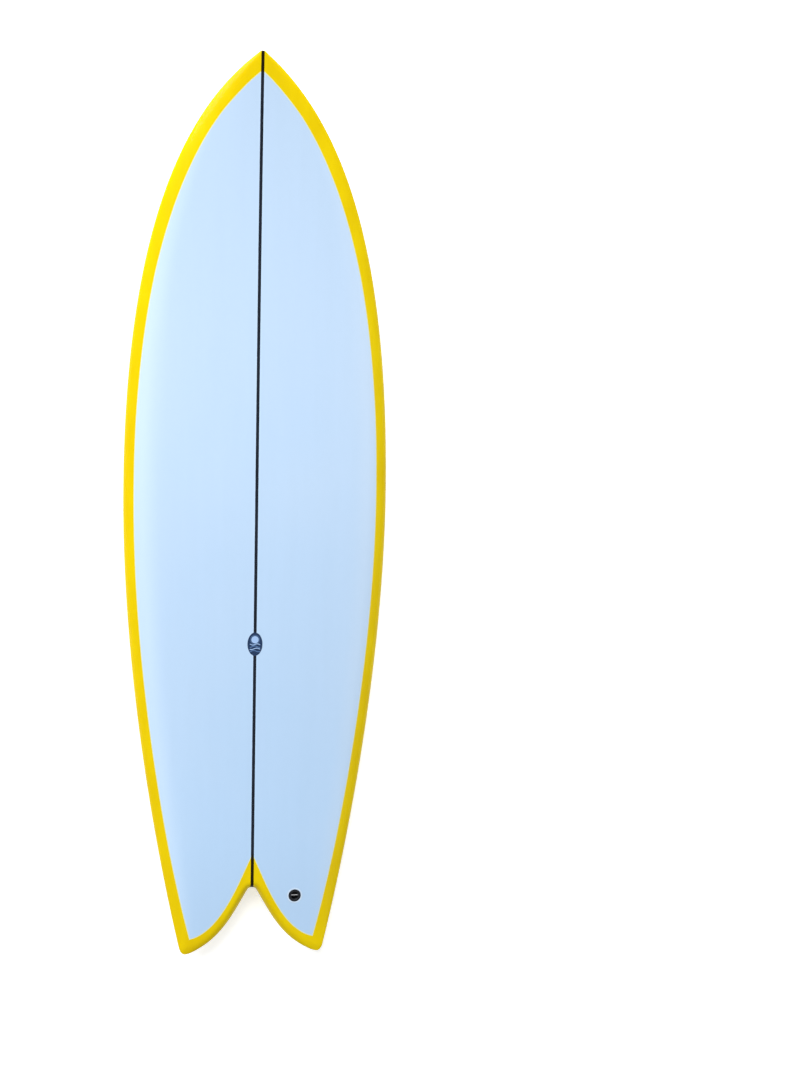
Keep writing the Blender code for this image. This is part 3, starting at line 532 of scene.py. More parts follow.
class Mat:
    """A small node-graph writer around one Principled shader."""

    def __init__(self, name, rough=0.5, metal=0.0, coat=0.0, coat_rough=0.03, ior=1.5, spec=0.5):
        self.m = bpy.data.materials.new(name)
        self.m.use_nodes = True
        self.t = self.m.node_tree
        self.b = self.t.nodes["Principled BSDF"]
        self.b.inputs["Roughness"].default_value = rough
        self.b.inputs["Metallic"].default_value = metal
        self.b.inputs["Coat Weight"].default_value = coat
        self.b.inputs["Coat Roughness"].default_value = coat_rough
        self.b.inputs["IOR"].default_value = ior
        self.b.inputs["Specular IOR Level"].default_value = spec
        self.pos = self.t.nodes.new("ShaderNodeTexCoord").outputs["Object"]

    def node(self, kind, **values):
        n = self.t.nodes.new(kind)
        for k, v in values.items():
            setattr(n, k, v)
        return n

    def put(self, socket, value):
        if isinstance(value, bpy.types.NodeSocket):
            self.t.links.new(value, socket)
        elif isinstance(value, (tuple, list)) and len(value) == 3 and socket.type == "RGBA":
            socket.default_value = (*value, 1.0)
        else:
            socket.default_value = value

    def math(self, op, a, b=0.0, c=0.0, clamp=False):
        n = self.node("ShaderNodeMath", operation=op, use_clamp=clamp)
        for s, v in zip(n.inputs, (a, b, c)):
            self.put(s, v)
        return n.outputs[0]

    def vec(self, op, a, b=(0.0, 0.0, 0.0)):
        n = self.node("ShaderNodeVectorMath", operation=op)
        self.put(n.inputs[0], a)
        self.put(n.inputs[1], b)
        return n.outputs["Value"] if op in ("DOT_PRODUCT", "LENGTH", "DISTANCE") else n.outputs["Vector"]

    def scaled(self, scale, rotate=(0, 0, 0), move=(0, 0, 0)):
        n = self.node("ShaderNodeMapping")
        self.put(n.inputs["Vector"], self.pos)
        n.inputs["Scale"].default_value = scale
        n.inputs["Rotation"].default_value = rotate
        n.inputs["Location"].default_value = move
        return n.outputs[0]

    def noise(self, scale, detail=3.0, rough=0.5, at=None, distort=0.0):
        n = self.node("ShaderNodeTexNoise")
        self.put(n.inputs["Vector"], at if at is not None else self.pos)
        n.inputs["Scale"].default_value = scale
        n.inputs["Detail"].default_value = detail
        n.inputs["Roughness"].default_value = rough
        n.inputs["Distortion"].default_value = distort
        return n.outputs["Fac"]

    def wave(self, scale, axis, at=None, distort=0.0):
        n = self.node("ShaderNodeTexWave", bands_direction=axis)
        self.put(n.inputs["Vector"], at if at is not None else self.pos)
        n.inputs["Scale"].default_value = scale
        n.inputs["Distortion"].default_value = distort
        return n.outputs["Fac"]

    def voronoi(self, scale, feature="F1", at=None):
        n = self.node("ShaderNodeTexVoronoi", feature=feature)
        self.put(n.inputs["Vector"], at if at is not None else self.pos)
        n.inputs["Scale"].default_value = scale
        return n.outputs["Distance"]

    def grey(self, value):
        n = self.node("ShaderNodeCombineColor")
        for s in n.inputs:
            self.put(s, value)
        return n.outputs[0]

    def ramp(self, fac, stops):
        n = self.node("ShaderNodeValToRGB")
        self.put(n.inputs[0], fac)
        e = n.color_ramp.elements
        while len(e) > 2:
            e.remove(e[-1])
        for k, (p, c) in enumerate(stops):
            el = e[k] if k < 2 else e.new(p)
            el.position = p
            el.color = (*c, 1.0) if isinstance(c, tuple) else (c, c, c, 1.0)
        return n.outputs[0]

    def mix(self, fac, a, b, mode="MIX"):
        n = self.node("ShaderNodeMix", data_type="RGBA", blend_type=mode)
        self.put(n.inputs[0], fac)
        self.put(n.inputs[6], a)
        self.put(n.inputs[7], b)
        return n.outputs[2]

    def span(self, value, a, b, lo, hi):
        n = self.node("ShaderNodeMapRange")
        self.put(n.inputs[0], value)
        for k, v in enumerate((a, b, lo, hi)):
            n.inputs[k + 1].default_value = v
        return n.outputs[0]

    def bump(self, height, strength, dist):
        n = self.node("ShaderNodeBump")
        self.put(n.inputs["Height"], height)
        n.inputs["Strength"].default_value = strength
        n.inputs["Distance"].default_value = dist
        self.t.links.new(n.outputs[0], self.b.inputs["Normal"])

    def colour(self, socket):
        self.put(self.b.inputs["Base Color"], socket)

    def rough(self, socket):
        self.put(self.b.inputs["Roughness"], socket)


def weave(m, pitch):
    """Plain-weave glass cloth: 0 to 1, high on a thread's crown."""
    turned = m.scaled((1, 1, 1), (0, 0, 0.006))
    a = m.wave(0.31416 / pitch, "X", turned)
    b = m.wave(0.31416 / pitch, "Y", turned)
    return m.math("MULTIPLY", m.math("ADD", a, b), 0.5)


def glassed_foam(name, light, deep, pale):
    """Pale blue foam under clear cloth and a polished filler coat, with painted shade towards the tail and a painted
    sheen on the slopes.
    """
    m = Mat(name, rough=0.30, coat=0.15, coat_rough=0.10, spec=0.03)
    cloud = m.noise(5.0, 3, 0.55)
    cells = m.noise(1400.0, 2, 0.6)
    fleck = m.voronoi(900.0)
    sep = m.node("ShaderNodeSeparateXYZ")
    m.put(sep.inputs[0], m.pos)
    # painted shade: aft moves the skin from the light to the deep colour towards the tail, standing in for the key
    # light's falloff; the cloud adds random tone on top
    aft = m.span(sep.outputs[1], 0.25, -0.70, 0.0, 1.0)
    fac = m.math("MULTIPLY_ADD", m.span(cloud, 0.3, 0.7, -0.5, 0.5), 0.30, aft, clamp=True)
    base = m.mix(fac, light, deep)
    grain = m.span(cells, 0.25, 0.75, -0.5, 0.5)
    cloth = weave(m, 0.0011)
    tone = m.math("MULTIPLY_ADD", grain, 0.022, 1.0)
    tone = m.math("MULTIPLY_ADD", m.math("SUBTRACT", cloth, 0.5), 0.018, tone)
    tone = m.math("MULTIPLY_ADD", m.math("LESS_THAN", fleck, 0.10), -0.035, tone)
    streak = m.noise(1.0, 4, 0.6, m.scaled((34.0, 2.2, 1.0)))
    tone = m.math("MULTIPLY_ADD", m.span(streak, 0.3, 0.7, -0.5, 0.5), 0.016, tone)
    glue = m.span(m.math("ABSOLUTE", sep.outputs[0]), STRINGER / 2 + 0.0012, STRINGER / 2 + 0.0034, 0.055, 0.0)
    tone = m.math("ADD", tone, glue)
    # painted sheen: thin lightens the skin and mixes it toward the pale colour where the normal tilts sideways,
    # standing in for the key light's soft highlight on the slopes
    tilt = m.node("ShaderNodeSeparateXYZ")
    m.put(tilt.inputs[0], m.node("ShaderNodeNewGeometry").outputs["Normal"])
    thin = m.span(m.math("ABSOLUTE", tilt.outputs[0]), 0.08, 0.32, 0.0, 0.055)
    tone = m.math("ADD", tone, thin)
    base = m.mix(m.math("MULTIPLY", thin, 5.0), base, pale)
    m.colour(m.mix(1.0, base, m.grey(tone), "MULTIPLY"))
    swirl = m.noise(60.0, 3, 0.5)
    m.rough(m.span(swirl, 0.3, 0.7, 0.22, 0.34))
    wavy = m.noise(5.0, 2, 0.4)
    h = m.math("MULTIPLY_ADD", cloth, 0.004, m.math("MULTIPLY", wavy, 0.6))
    m.bump(h, 0.11, 0.0005)
    return m.m


def yellow_glass():
    """Pigmented laps: depth of colour follows the cloth's overlaps and the squeegee's strokes, with painted shade
    towards the tail.
    """
    m = Mat("yellow_lap", rough=0.26, coat=0.12, coat_rough=0.08, spec=0.03)
    strokes = m.noise(1.0, 4, 0.6, m.scaled((26.0, 5.0, 26.0)))
    cloud = m.noise(9.0, 3, 0.5)
    depth = m.math("MULTIPLY_ADD", strokes, 0.55, m.math("MULTIPLY", cloud, 0.45))
    base = m.ramp(m.span(depth, 0.34, 0.66, 0.0, 1.0),
                  [(0.0, YELLOW_DEEP), (0.5, YELLOW_MID), (1.0, YELLOW_LIGHT)])
    cloth = weave(m, 0.0011)
    fine = m.noise(1500.0, 2, 0.6)
    tone = m.math("MULTIPLY_ADD", m.math("SUBTRACT", cloth, 0.5), 0.045, 1.0)
    tone = m.math("MULTIPLY_ADD", m.math("SUBTRACT", fine, 0.5), 0.05, tone)
    sep = m.node("ShaderNodeSeparateXYZ")
    m.put(sep.inputs[0], m.pos)
    # painted shade: the yellow's tone drops by 6 % between y = 0.60 and y = 0.22 and stays there to the tail, standing
    # in for the key light's falloff
    tone = m.math("MULTIPLY", tone, m.span(sep.outputs[1], 0.60, 0.22, 1.0, 0.94))
    m.colour(m.mix(1.0, base, m.grey(tone), "MULTIPLY"))
    m.rough(m.span(m.noise(60.0, 3, 0.5), 0.3, 0.7, 0.18, 0.30))
    m.bump(m.math("MULTIPLY_ADD", cloth, 0.005, m.math("MULTIPLY", m.noise(7.0, 2, 0.4), 0.5)), 0.20, 0.0005)
    return m.m


def wood_line(name, dark, light):
    m = Mat(name, rough=0.3, coat=0.12, coat_rough=0.10, spec=0.03)
    grain = m.noise(1.0, 5, 0.65, m.scaled((2200.0, 14.0, 300.0)))
    knots = m.noise(1.0, 2, 0.5, m.scaled((200.0, 3.0, 50.0)))
    fac = m.math("MULTIPLY_ADD", grain, 0.7, m.math("MULTIPLY", knots, 0.3))
    m.colour(m.ramp(m.span(fac, 0.32, 0.68, 0.0, 1.0), [(0.0, dark), (1.0, light)]))
    m.rough(m.span(grain, 0.3, 0.7, 0.24, 0.36))
    m.bump(grain, 0.2, 0.00005)
    return m.m


def lap_line():
    m = Mat("lap_edge", rough=0.26, coat=0.15, coat_rough=0.10, spec=0.03)
    n = m.noise(180.0, 3, 0.6)
    m.colour(m.ramp(m.span(n, 0.3, 0.7, 0.0, 1.0), [(0.0, lin(202, 202, 134)), (1.0, lin(202, 208, 166))]))
    m.bump(m.noise(400.0, 2, 0.5), 0.2, 0.0001)
    return m.m


def resin(name, light, deep, halo=False):
    """Clear cast resin: slightly uneven, with a few trapped bubbles."""
    m = Mat(name, rough=0.22, coat=0.35, coat_rough=0.04, spec=0.2)
    cloud = m.noise(70.0, 3, 0.5)
    bubbles = m.voronoi(420.0)
    base = m.ramp(m.span(cloud, 0.3, 0.7, 0.0, 1.0), [(0.0, deep), (1.0, light)])
    m.colour(m.mix(m.math("MULTIPLY", m.math("LESS_THAN", bubbles, 0.16), 0.35), base, lin(182, 194, 212)))
    m.rough(m.span(m.noise(200.0, 2, 0.5), 0.3, 0.7, 0.12, 0.22))
    m.bump(m.noise(110.0, 2, 0.5), 0.25, 0.0002)
    return m.m


def moulded(name, light, deep, rough=(0.34, 0.46), grain=2600.0, coat=0.0):
    """Injection-moulded plastic with fine spark-eroded grain and faint flow marks."""
    m = Mat(name, rough=0.4, coat=coat, spec=0.25)
    flow = m.noise(1.0, 3, 0.5, m.scaled((120.0, 18.0, 120.0)))
    fine = m.noise(grain, 2, 0.6)
    fac = m.math("MULTIPLY_ADD", flow, 0.6, m.math("MULTIPLY", fine, 0.4))
    m.colour(m.ramp(m.span(fac, 0.3, 0.7, 0.0, 1.0), [(0.0, deep), (1.0, light)]))
    m.rough(m.span(fine, 0.3, 0.7, *rough))
    m.bump(fine, 0.25, 0.00004)
    return m.m


def steel(name, tint, rough=(0.20, 0.34), along=(40.0, 3000.0, 3000.0)):
    m = Mat(name, rough=0.28, metal=1.0)
    brushed = m.noise(1.0, 3, 0.6, m.scaled(along))
    m.colour(m.ramp(m.span(brushed, 0.3, 0.7, 0.0, 1.0), [(0.0, tuple(c * 0.72 for c in tint)), (1.0, tint)]))
    m.rough(m.span(brushed, 0.3, 0.7, *rough))
    m.bump(brushed, 0.3, 0.00003)
    return m.m


def foam(name):
    m = Mat(name, rough=0.9)
    cells = m.voronoi(1800.0)
    m.colour(m.ramp(cells, [(0.0, lin(196, 214, 240)), (0.7, lin(214, 230, 250))]))
    m.bump(cells, 0.5, 0.0003)
    return m.m


YELLOW_DEEP, YELLOW_MID, YELLOW_LIGHT = lin(206, 176, 0), lin(212, 184, 1), lin(217, 191, 2)
# the second colour is the tail tone of the painted shade, the third the painted sheen on the slopes towards the rails
DECK_MAT = glassed_foam("glassed_foam_deck", lin(171, 192, 215), lin(163, 189, 216), lin(189, 203, 217))
BOTTOM_MAT = glassed_foam("glassed_foam_bottom", lin(170, 190, 216), lin(158, 181, 214), lin(188, 202, 217))
YELLOW_MAT = yellow_glass()
LINE_MAT = wood_line("stringer_under_glass", lin(14, 17, 24), lin(34, 39, 50))
LINE_YELLOW = wood_line("stringer_under_yellow", lin(14, 11, 2), lin(38, 31, 4))
EDGE_MAT = lap_line()
RESIN_MAT = resin("fin_box_resin", lin(150, 174, 222), lin(138, 162, 213))
HALO_MAT = resin("plug_resin", lin(190, 206, 222), lin(178, 197, 217))
FIN_BOX_MAT = moulded("fin_box_plastic", lin(176, 204, 216), lin(163, 192, 210))
BLACK_MAT = moulded("black_plastic", lin(24, 27, 33), lin(13, 15, 20), rough=(0.30, 0.42), coat=0.15)
STEEL_MAT = steel("stainless_bar", (0.26, 0.26, 0.265), rough=(0.26, 0.40))
# part steel, part painted shade: the near-black tint stands in for the shade in the bore the screw sits in
SCREW_MAT = steel("set_screw_steel", (0.15, 0.155, 0.17), along=(2500.0, 2500.0, 400.0))
FOAM_MAT = foam("polyurethane_foam")
DASH_MAT = moulded("flange_slots", lin(98, 124, 176), lin(82, 108, 160))
PENCIL_MAT = moulded("pencil", lin(146, 166, 192), lin(134, 155, 184))


# ------------------------------------------------------------------------------ pieces
def finish_piece(name, me, mat, body="root", slot=None, replaces=(), matrix=None, smooth=35):
    me.name = name
    me.materials.clear()
    me.materials.append(mat)
    me.polygons.foreach_set("material_index", [0] * len(me.polygons))
    if smooth:
        me.shade_smooth()
        me.set_sharp_from_angle(angle=math.radians(smooth))
    if matrix is not None:
        me.transform(matrix)
    o = bpy.data.objects.new(name, me)
    bpy.context.scene.collection.objects.link(o)
    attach(o, body)
    if replaces:
        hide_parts(*replaces)
    return o


def to_mesh(bm, name="piece"):
    me = bpy.data.meshes.new(name)
    bm.to_mesh(me)
    bm.free()
    return me


class Cutout:
    """The finished shell, from which each piece takes its own faces."""

    def __init__(self, me):
        bm = bmesh.new()
        bm.from_mesh(me)
        bmesh.ops.delete(bm, geom=[f for f in bm.faces if f.material_index == CUT_TAG], context="FACES")
        bmesh.ops.delete(bm, geom=[v for v in bm.verts if not v.link_faces], context="VERTS")
        bmesh.ops.triangulate(bm, faces=[f for f in bm.faces if len(f.verts) > 4])
        bm.normal_update()
        bm.verts.index_update()
        self.co = np.array([v.co for v in bm.verts])
        self.no = np.array([v.normal for v in bm.verts])
        self.faces = [tuple(v.index for v in f.verts) for f in bm.faces]
        self.tags = np.array([f.material_index for f in bm.faces])
        self.mid = np.array([f.calc_center_median() for f in bm.faces])
        self.fno = np.array([f.normal for f in bm.faces])
        bm.free()

    def piece(self, name, keep, mat, thick=0.0009, **how):
        """A closed sheet: the kept faces, the same faces a little inside, and a wall round every border."""
        faces = [self.faces[i] for i in np.flatnonzero(keep)]
        used = sorted({k for f in faces for k in f})
        new = {k: i for i, k in enumerate(used)}
        n = len(used)
        co, no = self.co[used], self.no[used]
        verts = np.vstack([co, co - no * thick])
        out = [tuple(new[k] for k in f) for f in faces]
        edges = {}
        for f in out:
            for a, b in zip(f, f[1:] + f[:1]):
                edges[(a, b)] = True
        walls = [(b, a, a + n, b + n) for a, b in edges if (b, a) not in edges]
        inner = [tuple(k + n for k in f[::-1]) for f in out]
        me = bpy.data.meshes.new(name)
        me.from_pydata([tuple(p) for p in verts], [], out + inner + walls)
        me.materials.append(mat)
        me.shade_smooth()
        me.update()
        normals = []
        for f in out:
            normals += [tuple(no[k]) for k in f]
        for f in inner:
            normals += [tuple(-no[k - n]) for k in f]
        for k in range(len(out) + len(inner), len(me.polygons)):
            w = tuple(me.polygons[k].normal)
            normals += [w] * len(walls[k - len(out) - len(inner)])
        me.normals_split_custom_set(normals)
        return finish_piece(name, me, mat, smooth=None, **how)


def sheet(xy, rows, deck, out, inside):
    """A thin closed sheet that follows the board, from a height above the skin to a depth below it."""
    xy = np.array(xy)
    z = surface(xy[:, 0], xy[:, 1], deck)
    up = 1.0 if deck else -1.0
    bm = bmesh.new()
    skins = [[bm.verts.new((x, y, h + up * d)) for (x, y), h in zip(xy, z)] for d in (out, -inside)]
    for row in rows:
        row = [k for i, k in enumerate(row) if k != row[i - 1]]
        bm.faces.new([skins[0][k] for k in row])
        bm.faces.new([skins[1][k] for k in row[::-1]])
    pair = dict(zip(skins[0], skins[1]))
    for e in [e for e in bm.edges if e.is_boundary]:
        a, b = e.verts
        if a in pair and b in pair:
            bm.faces.new((a, b, pair[b], pair[a]))
    bmesh.ops.recalc_face_normals(bm, faces=bm.faces)
    return bm


def ring_rows(n, rings, first=0):
    rows = []
    for r in range(rings - 1):
        for k in range(n):
            j = (k + 1) % n
            rows.append((first + r * n + k, first + r * n + j, first + (r + 1) * n + j, first + (r + 1) * n + k))
    return rows


# the shell, opened for the leash plug and the fin boxes
shell = temp(build_shell())
FRAMES = {"left": fin_frame(-1), "right": fin_frame(1)}
PLUG = plug_frame()
cutters = [temp(prism(stadium(OVAL[0], OVAL[1], 32), -0.02, 0.006), FRAMES[k], CUT_TAG) for k in FRAMES]
cutters.append(temp(prism(circle(PLUG_RESIN[0], 72), -0.010, 0.02), PLUG, CUT_TAG))
skin = Cutout(carve(shell, cutters))

t, mid, up = skin.tags, skin.mid, skin.fno[:, 2] > 0
skin.piece("deck_glass", t == DECK_TAG, DECK_MAT, slot="clear_deck_laminate", replaces=("deck_laminate",))
skin.piece("bottom_glass", t == BOTTOM_TAG, BOTTOM_MAT, slot="clear_bottom_laminate", replaces=("bottom_laminate",))
skin.piece("rail_wrap_left", (t == RAIL_TAG) & (mid[:, 0] < 0), YELLOW_MAT, slot="yellow_laminate", replaces=("rail_laminate_left",))
skin.piece("rail_wrap_right", (t == RAIL_TAG) & (mid[:, 0] > 0), YELLOW_MAT, slot="yellow_laminate", replaces=("rail_laminate_right",))
skin.piece("stringer_line_deck", t == LINE_DECK, LINE_MAT, slot="dark_stringer")
skin.piece("stringer_line_bottom", t == LINE_BOTTOM, LINE_MAT, slot="dark_stringer")
skin.piece("stringer_line_nose", (t == LINE_RAIL) & (mid[:, 1] > 0), LINE_YELLOW, slot="dark_stringer")
skin.piece("stringer_line_notch", (t == LINE_RAIL) & (mid[:, 1] < 0), LINE_YELLOW, slot="dark_stringer")
skin.piece("lap_edge_deck", (t == EDGE_TAG) & up, EDGE_MAT, slot="yellow_laminate")
skin.piece("lap_edge_bottom", (t == EDGE_TAG) & ~up, EDGE_MAT, slot="yellow_laminate")


# ------------------------------------------------------------------------------ prints
def oval_print(name, width, length, cx, cy, deck, out, inside, mat, n=64, rings=6, **how):
    xy, rows = [(cx, cy)], []
    for r in range(1, rings + 1):
        f = r / rings
        xy += [(cx + f * width / 2 * math.cos(2 * math.pi * k / n), cy + f * length / 2 * math.sin(2 * math.pi * k / n)) for k in range(n)]
    rows += [(0, 1 + k, 1 + (k + 1) % n) for k in range(n)] + ring_rows(n, rings, 1)
    return finish_piece(name, to_mesh(sheet(xy, rows, deck, out, inside)), mat, **how)


def print_mat(name, cx, cy, scale, oval):
    """A generic wave and sun in two tones of blue on navy ink, with a worn halftone edge."""
    m = Mat(name, rough=0.3, coat=0.14, coat_rough=0.10, spec=0.03)
    local = m.scaled((1 / scale, 1 / scale, 1 / scale), move=(-cx / scale, -cy / scale, 0))
    sep = m.node("ShaderNodeSeparateXYZ")
    m.put(sep.inputs[0], local)
    x, y = sep.outputs[0], sep.outputs[1]
    soft = m.noise(26.0, 3, 0.6, local)
    speck = m.noise(60.0, 2, 0.7, local)
    navy, ink, pale, mist = lin(27, 41, 66), lin(40, 58, 88), lin(146, 174, 212), lin(80, 110, 152)
    base = m.mix(m.span(soft, 0.35, 0.65, 0.0, 1.0), navy, ink)

    def smooth(v, a, b):
        return m.span(v, a, b, 1.0, 0.0)

    # sun: a disc above the middle
    dy = m.math("SUBTRACT", y, 0.36)
    sun = m.math("SQRT", m.math("ADD", m.math("MULTIPLY", x, x), m.math("MULTIPLY", dy, dy)))
    base = m.mix(smooth(sun, 0.285, 0.305), base, pale)
    base = m.mix(m.math("MULTIPLY", smooth(m.math("ABSOLUTE", m.math("SUBTRACT", sun, 0.36)), 0.014, 0.022), 0.8), base, mist)
    # rows of waves below it
    for k, (level, amp, freq, phase, tone) in enumerate(((-0.02, 0.05, 9.0, 0.0, pale), (-0.20, 0.06, 8.0, 1.7, mist),
                                                         (-0.38, 0.06, 7.0, 0.6, pale), (-0.56, 0.05, 8.5, 2.4, mist))):
        crest = m.math("MULTIPLY_ADD", m.math("SINE", m.math("MULTIPLY_ADD", x, freq, phase)), amp, level)
        d = m.math("SUBTRACT", y, crest)
        band = m.math("MULTIPLY", smooth(m.math("ABSOLUTE", d), 0.026, 0.038), 1.0)
        inside = smooth(m.math("ABSOLUTE", x), 0.40 if oval else 0.50, 0.43 if oval else 0.53)
        base = m.mix(m.math("MULTIPLY", band, inside), base, tone)
    base = m.mix(m.span(speck, 0.60, 0.68, 0.0, 0.5), base, mist)
    m.colour(base)
    m.rough(m.span(speck, 0.3, 0.7, 0.22, 0.34))
    m.bump(m.noise(300.0, 2, 0.5), 0.15, 0.0001)
    return m.m


oval_print("emblem_print", EMBLEM[0], EMBLEM[1], 0.0, TAIL + EMBLEM[2], True, 0.00012, 0.0004,
           print_mat("emblem_ink", 0.0, TAIL + EMBLEM[2], 0.024, True), slot="deck_print", replaces=("deck_emblem",))

lw, ll = LABEL[1] - LABEL[0], LABEL[3] - LABEL[2]
lx, ly = (LABEL[0] + LABEL[1]) / 2, TAIL + (LABEL[2] + LABEL[3]) / 2
rings = 16
outline = densify(rounded(ll, lw, 0.0022, 9), 0.004)
n = len(outline)
xy = [(lx, ly)]
for r in range(1, rings + 1):
    xy += [(lx + x * r / rings, ly + y * r / rings) for x, y in outline]
rows = [(0, 1 + k, 1 + (k + 1) % n) for k in range(n)] + ring_rows(n, rings, 1)
finish_piece("label_print", to_mesh(sheet(xy, rows, False, 0.00012, 0.0004)), print_mat("label_ink", lx, ly, 0.0755, False),
             slot="label_print", replaces=("bottom_label",))


# ------------------------------------------------------------------------------ fin boxes
def follow(me, frame_, deck=False):
    """Bends a fitting's mouth to the board's own curve: all of it at the mouth, none at its foot."""
    inv = frame_.inverted()
    co = np.array([frame_ @ v.co for v in me.vertices])
    z = surface(co[:, 0], co[:, 1], deck)
    for v, p, h in zip(me.vertices, co, z):
        flat = frame_ @ Vector((v.co.x, v.co.y, 0.0))
        fade = max(0.0, 1.0 - max(v.co.z, 0.0) / BOX[2])
        p = Vector(p)
        p.z += (h - flat.z) * fade
        v.co = inv @ p


def fin_box(frame_):
    body = temp(prism(rounded(BOX[0], BOX[1] - 0.0004, 0.0030), 0.0, BOX[2]))
    slot = temp(prism(rounded(SLOT[0], SLOT[1], 0.0012), -0.004, SLOT[2], (0, SLOT_Y)))
    relief = temp(prism(circle(0.0068, 32), -0.004, SLOT[2] + 0.0008, (0, SLOT_Y - SLOT[0] / 2 + 0.0036)))
    bore = temp(moved(prism(circle(0.0053, 32), -0.006, 0.0150), SCREW_AXIS))
    mark = temp(prism(rounded(0.0016, 0.0046, 0.0005, 4), -0.002, 0.00035, (0, -0.0565)))
    me = carve(body, [slot, relief, bore, mark], bevel=0.00025)
    bm = bmesh.new()
    bm.from_mesh(me)
    bmesh.ops.triangulate(bm, faces=[f for f in bm.faces if len(f.verts) > 4])
    long_edges = [e for e in bm.edges if e.calc_length() > 0.012]
    bmesh.ops.subdivide_edges(bm, edges=long_edges, cuts=5)
    bmesh.ops.triangulate(bm, faces=[f for f in bm.faces if len(f.verts) > 4])
    bm.to_mesh(me)
    bm.free()
    follow(me, frame_)
    me.transform(frame_)
    return me


def on_bottom(shapes, frame_, out, inside):
    """Flat local outlines laid on the bottom as thin sheets, all in one mesh."""
    bits = []
    for outline, rings in shapes:
        cx = sum(p[0] for p in outline) / len(outline)
        cy = sum(p[1] for p in outline) / len(outline)
        pts = [(cx, cy)] + [(cx + (x - cx) * r / rings, cy + (y - cy) * r / rings) for r in range(1, rings + 1) for x, y in outline]
        world = [tuple(frame_ @ Vector((x, y, 0)))[:2] for x, y in pts]
        n = len(outline)
        rows = [(0, 1 + k, 1 + (k + 1) % n) for k in range(n)] + ring_rows(n, rings, 1)
        bits.append(sheet(world, rows, False, out, inside))
    return merged(*bits)


def turned_outline(outline, angle, cx, cy):
    c, s = math.cos(angle), math.sin(angle)
    return [(cx + c * x - s * y, cy + s * x + c * y) for x, y in outline]


def resin_ring(frame_):
    """The resin between the routed oval and the box's mouth, laid in flush."""
    outer, inner = stadium(OVAL[0], OVAL[1], 32), []
    for x, y in outer:
        h = (OVAL[0] - OVAL[1]) / 2
        if abs(y) <= h + 1e-9:
            inner.append((math.copysign(BOX[1] / 2, x), y * (BOX[0] / 2 - 0.003) / h))
        else:
            a = math.atan2(abs(y) - h, abs(x))
            inner.append((math.copysign(BOX[1] / 2 - 0.003 + 0.003 * math.cos(a), x) if abs(x) > 1e-6 else 0.0,
                          math.copysign(BOX[0] / 2 - 0.003 + 0.003 * math.sin(a), y)))
    rings = 6
    pts = [(xo + (xi - xo) * r / (rings - 1), yo + (yi - yo) * r / (rings - 1)) for r in range(rings)
           for (xo, yo), (xi, yi) in zip(outer, inner)]
    world = [tuple(frame_ @ Vector((x, y, 0)))[:2] for x, y in pts]
    return sheet(world, ring_rows(len(outer), rings), False, 0.0, 0.0012)


def hex_socket_screw():
    """Set screw, its head at z = 0 and its cut-away thread running down into the bore."""
    n, turns, pitch, r = 48, 10, 0.0008, 0.00235
    rows = 121
    bm = bmesh.new()
    length = 0.009
    grid = []
    for j in range(rows):
        z = length * j / (rows - 1)
        ring = []
        for k in range(n):
            a = 2 * math.pi * k / n
            ph = (z / pitch - k / n) % 1.0
            groove = 0.00028 * (1.0 - abs(2 * ph - 1.0))
            end = min(z, length - z)
            rr = min(r - groove, r - 0.0004 + end)
            ring.append(bm.verts.new((rr * math.cos(a), rr * math.sin(a), z)))
        grid.append(ring)
    for j in range(rows - 1):
        for k in range(n):
            i = (k + 1) % n
            bm.faces.new((grid[j][k], grid[j][i], grid[j + 1][i], grid[j + 1][k]))
    bm.faces.new(grid[0][::-1])
    bm.faces.new(grid[-1])
    hexagon = temp(prism([(0.0024 / math.sqrt(3) * math.cos(math.pi / 3 * k), 0.0024 / math.sqrt(3) * math.sin(math.pi / 3 * k))
                          for k in range(6)], -0.001, 0.0028))
    return carve(temp(bm), [hexagon])


for name, side in (("left", -1), ("right", 1)):
    F = FRAMES[name]
    finish_piece("fin_box_shell_" + name, fin_box(F), FIN_BOX_MAT, slot="fin_box_plastic", replaces=("fin_box_" + name,))
    ring = resin_ring(F)
    finish_piece("fin_resin_" + name, to_mesh(ring), RESIN_MAT, slot="clear_resin", replaces=("fin_box_resin_" + name,))
    dashes = []
    for sx in (-1, 1):
        for y in (0.0346, 0.0098, -0.0147, -0.0386):
            dashes.append((densify([(x + sx * 0.0124, v + y) for x, v in stadium(0.0118, 0.0026, 6)], 0.002), 2))
        for end in (-1, 1):
            dashes.append((densify(turned_outline(stadium(0.0095, 0.0026, 6), sx * end * math.radians(33), sx * 0.0104, end * 0.0597), 0.002), 2))
    dashes.append((densify(turned_outline(stadium(0.0062, 0.0024, 6), math.radians(90), 0.0, -0.0656), 0.002), 2))
    finish_piece("fin_box_perforations_" + name, to_mesh(on_bottom(dashes, F, 0.00006, 0.0004)), DASH_MAT, slot="fin_box_plastic")
    screw = finish_piece("set_screw_" + name, hex_socket_screw(), SCREW_MAT, body="fin_screw_" + name, slot="stainless_steel",
                         replaces=("fin_screw_" + name,), matrix=F @ SCREW_AXIS @ Matrix.Translation((0, 0, 0.0018)))


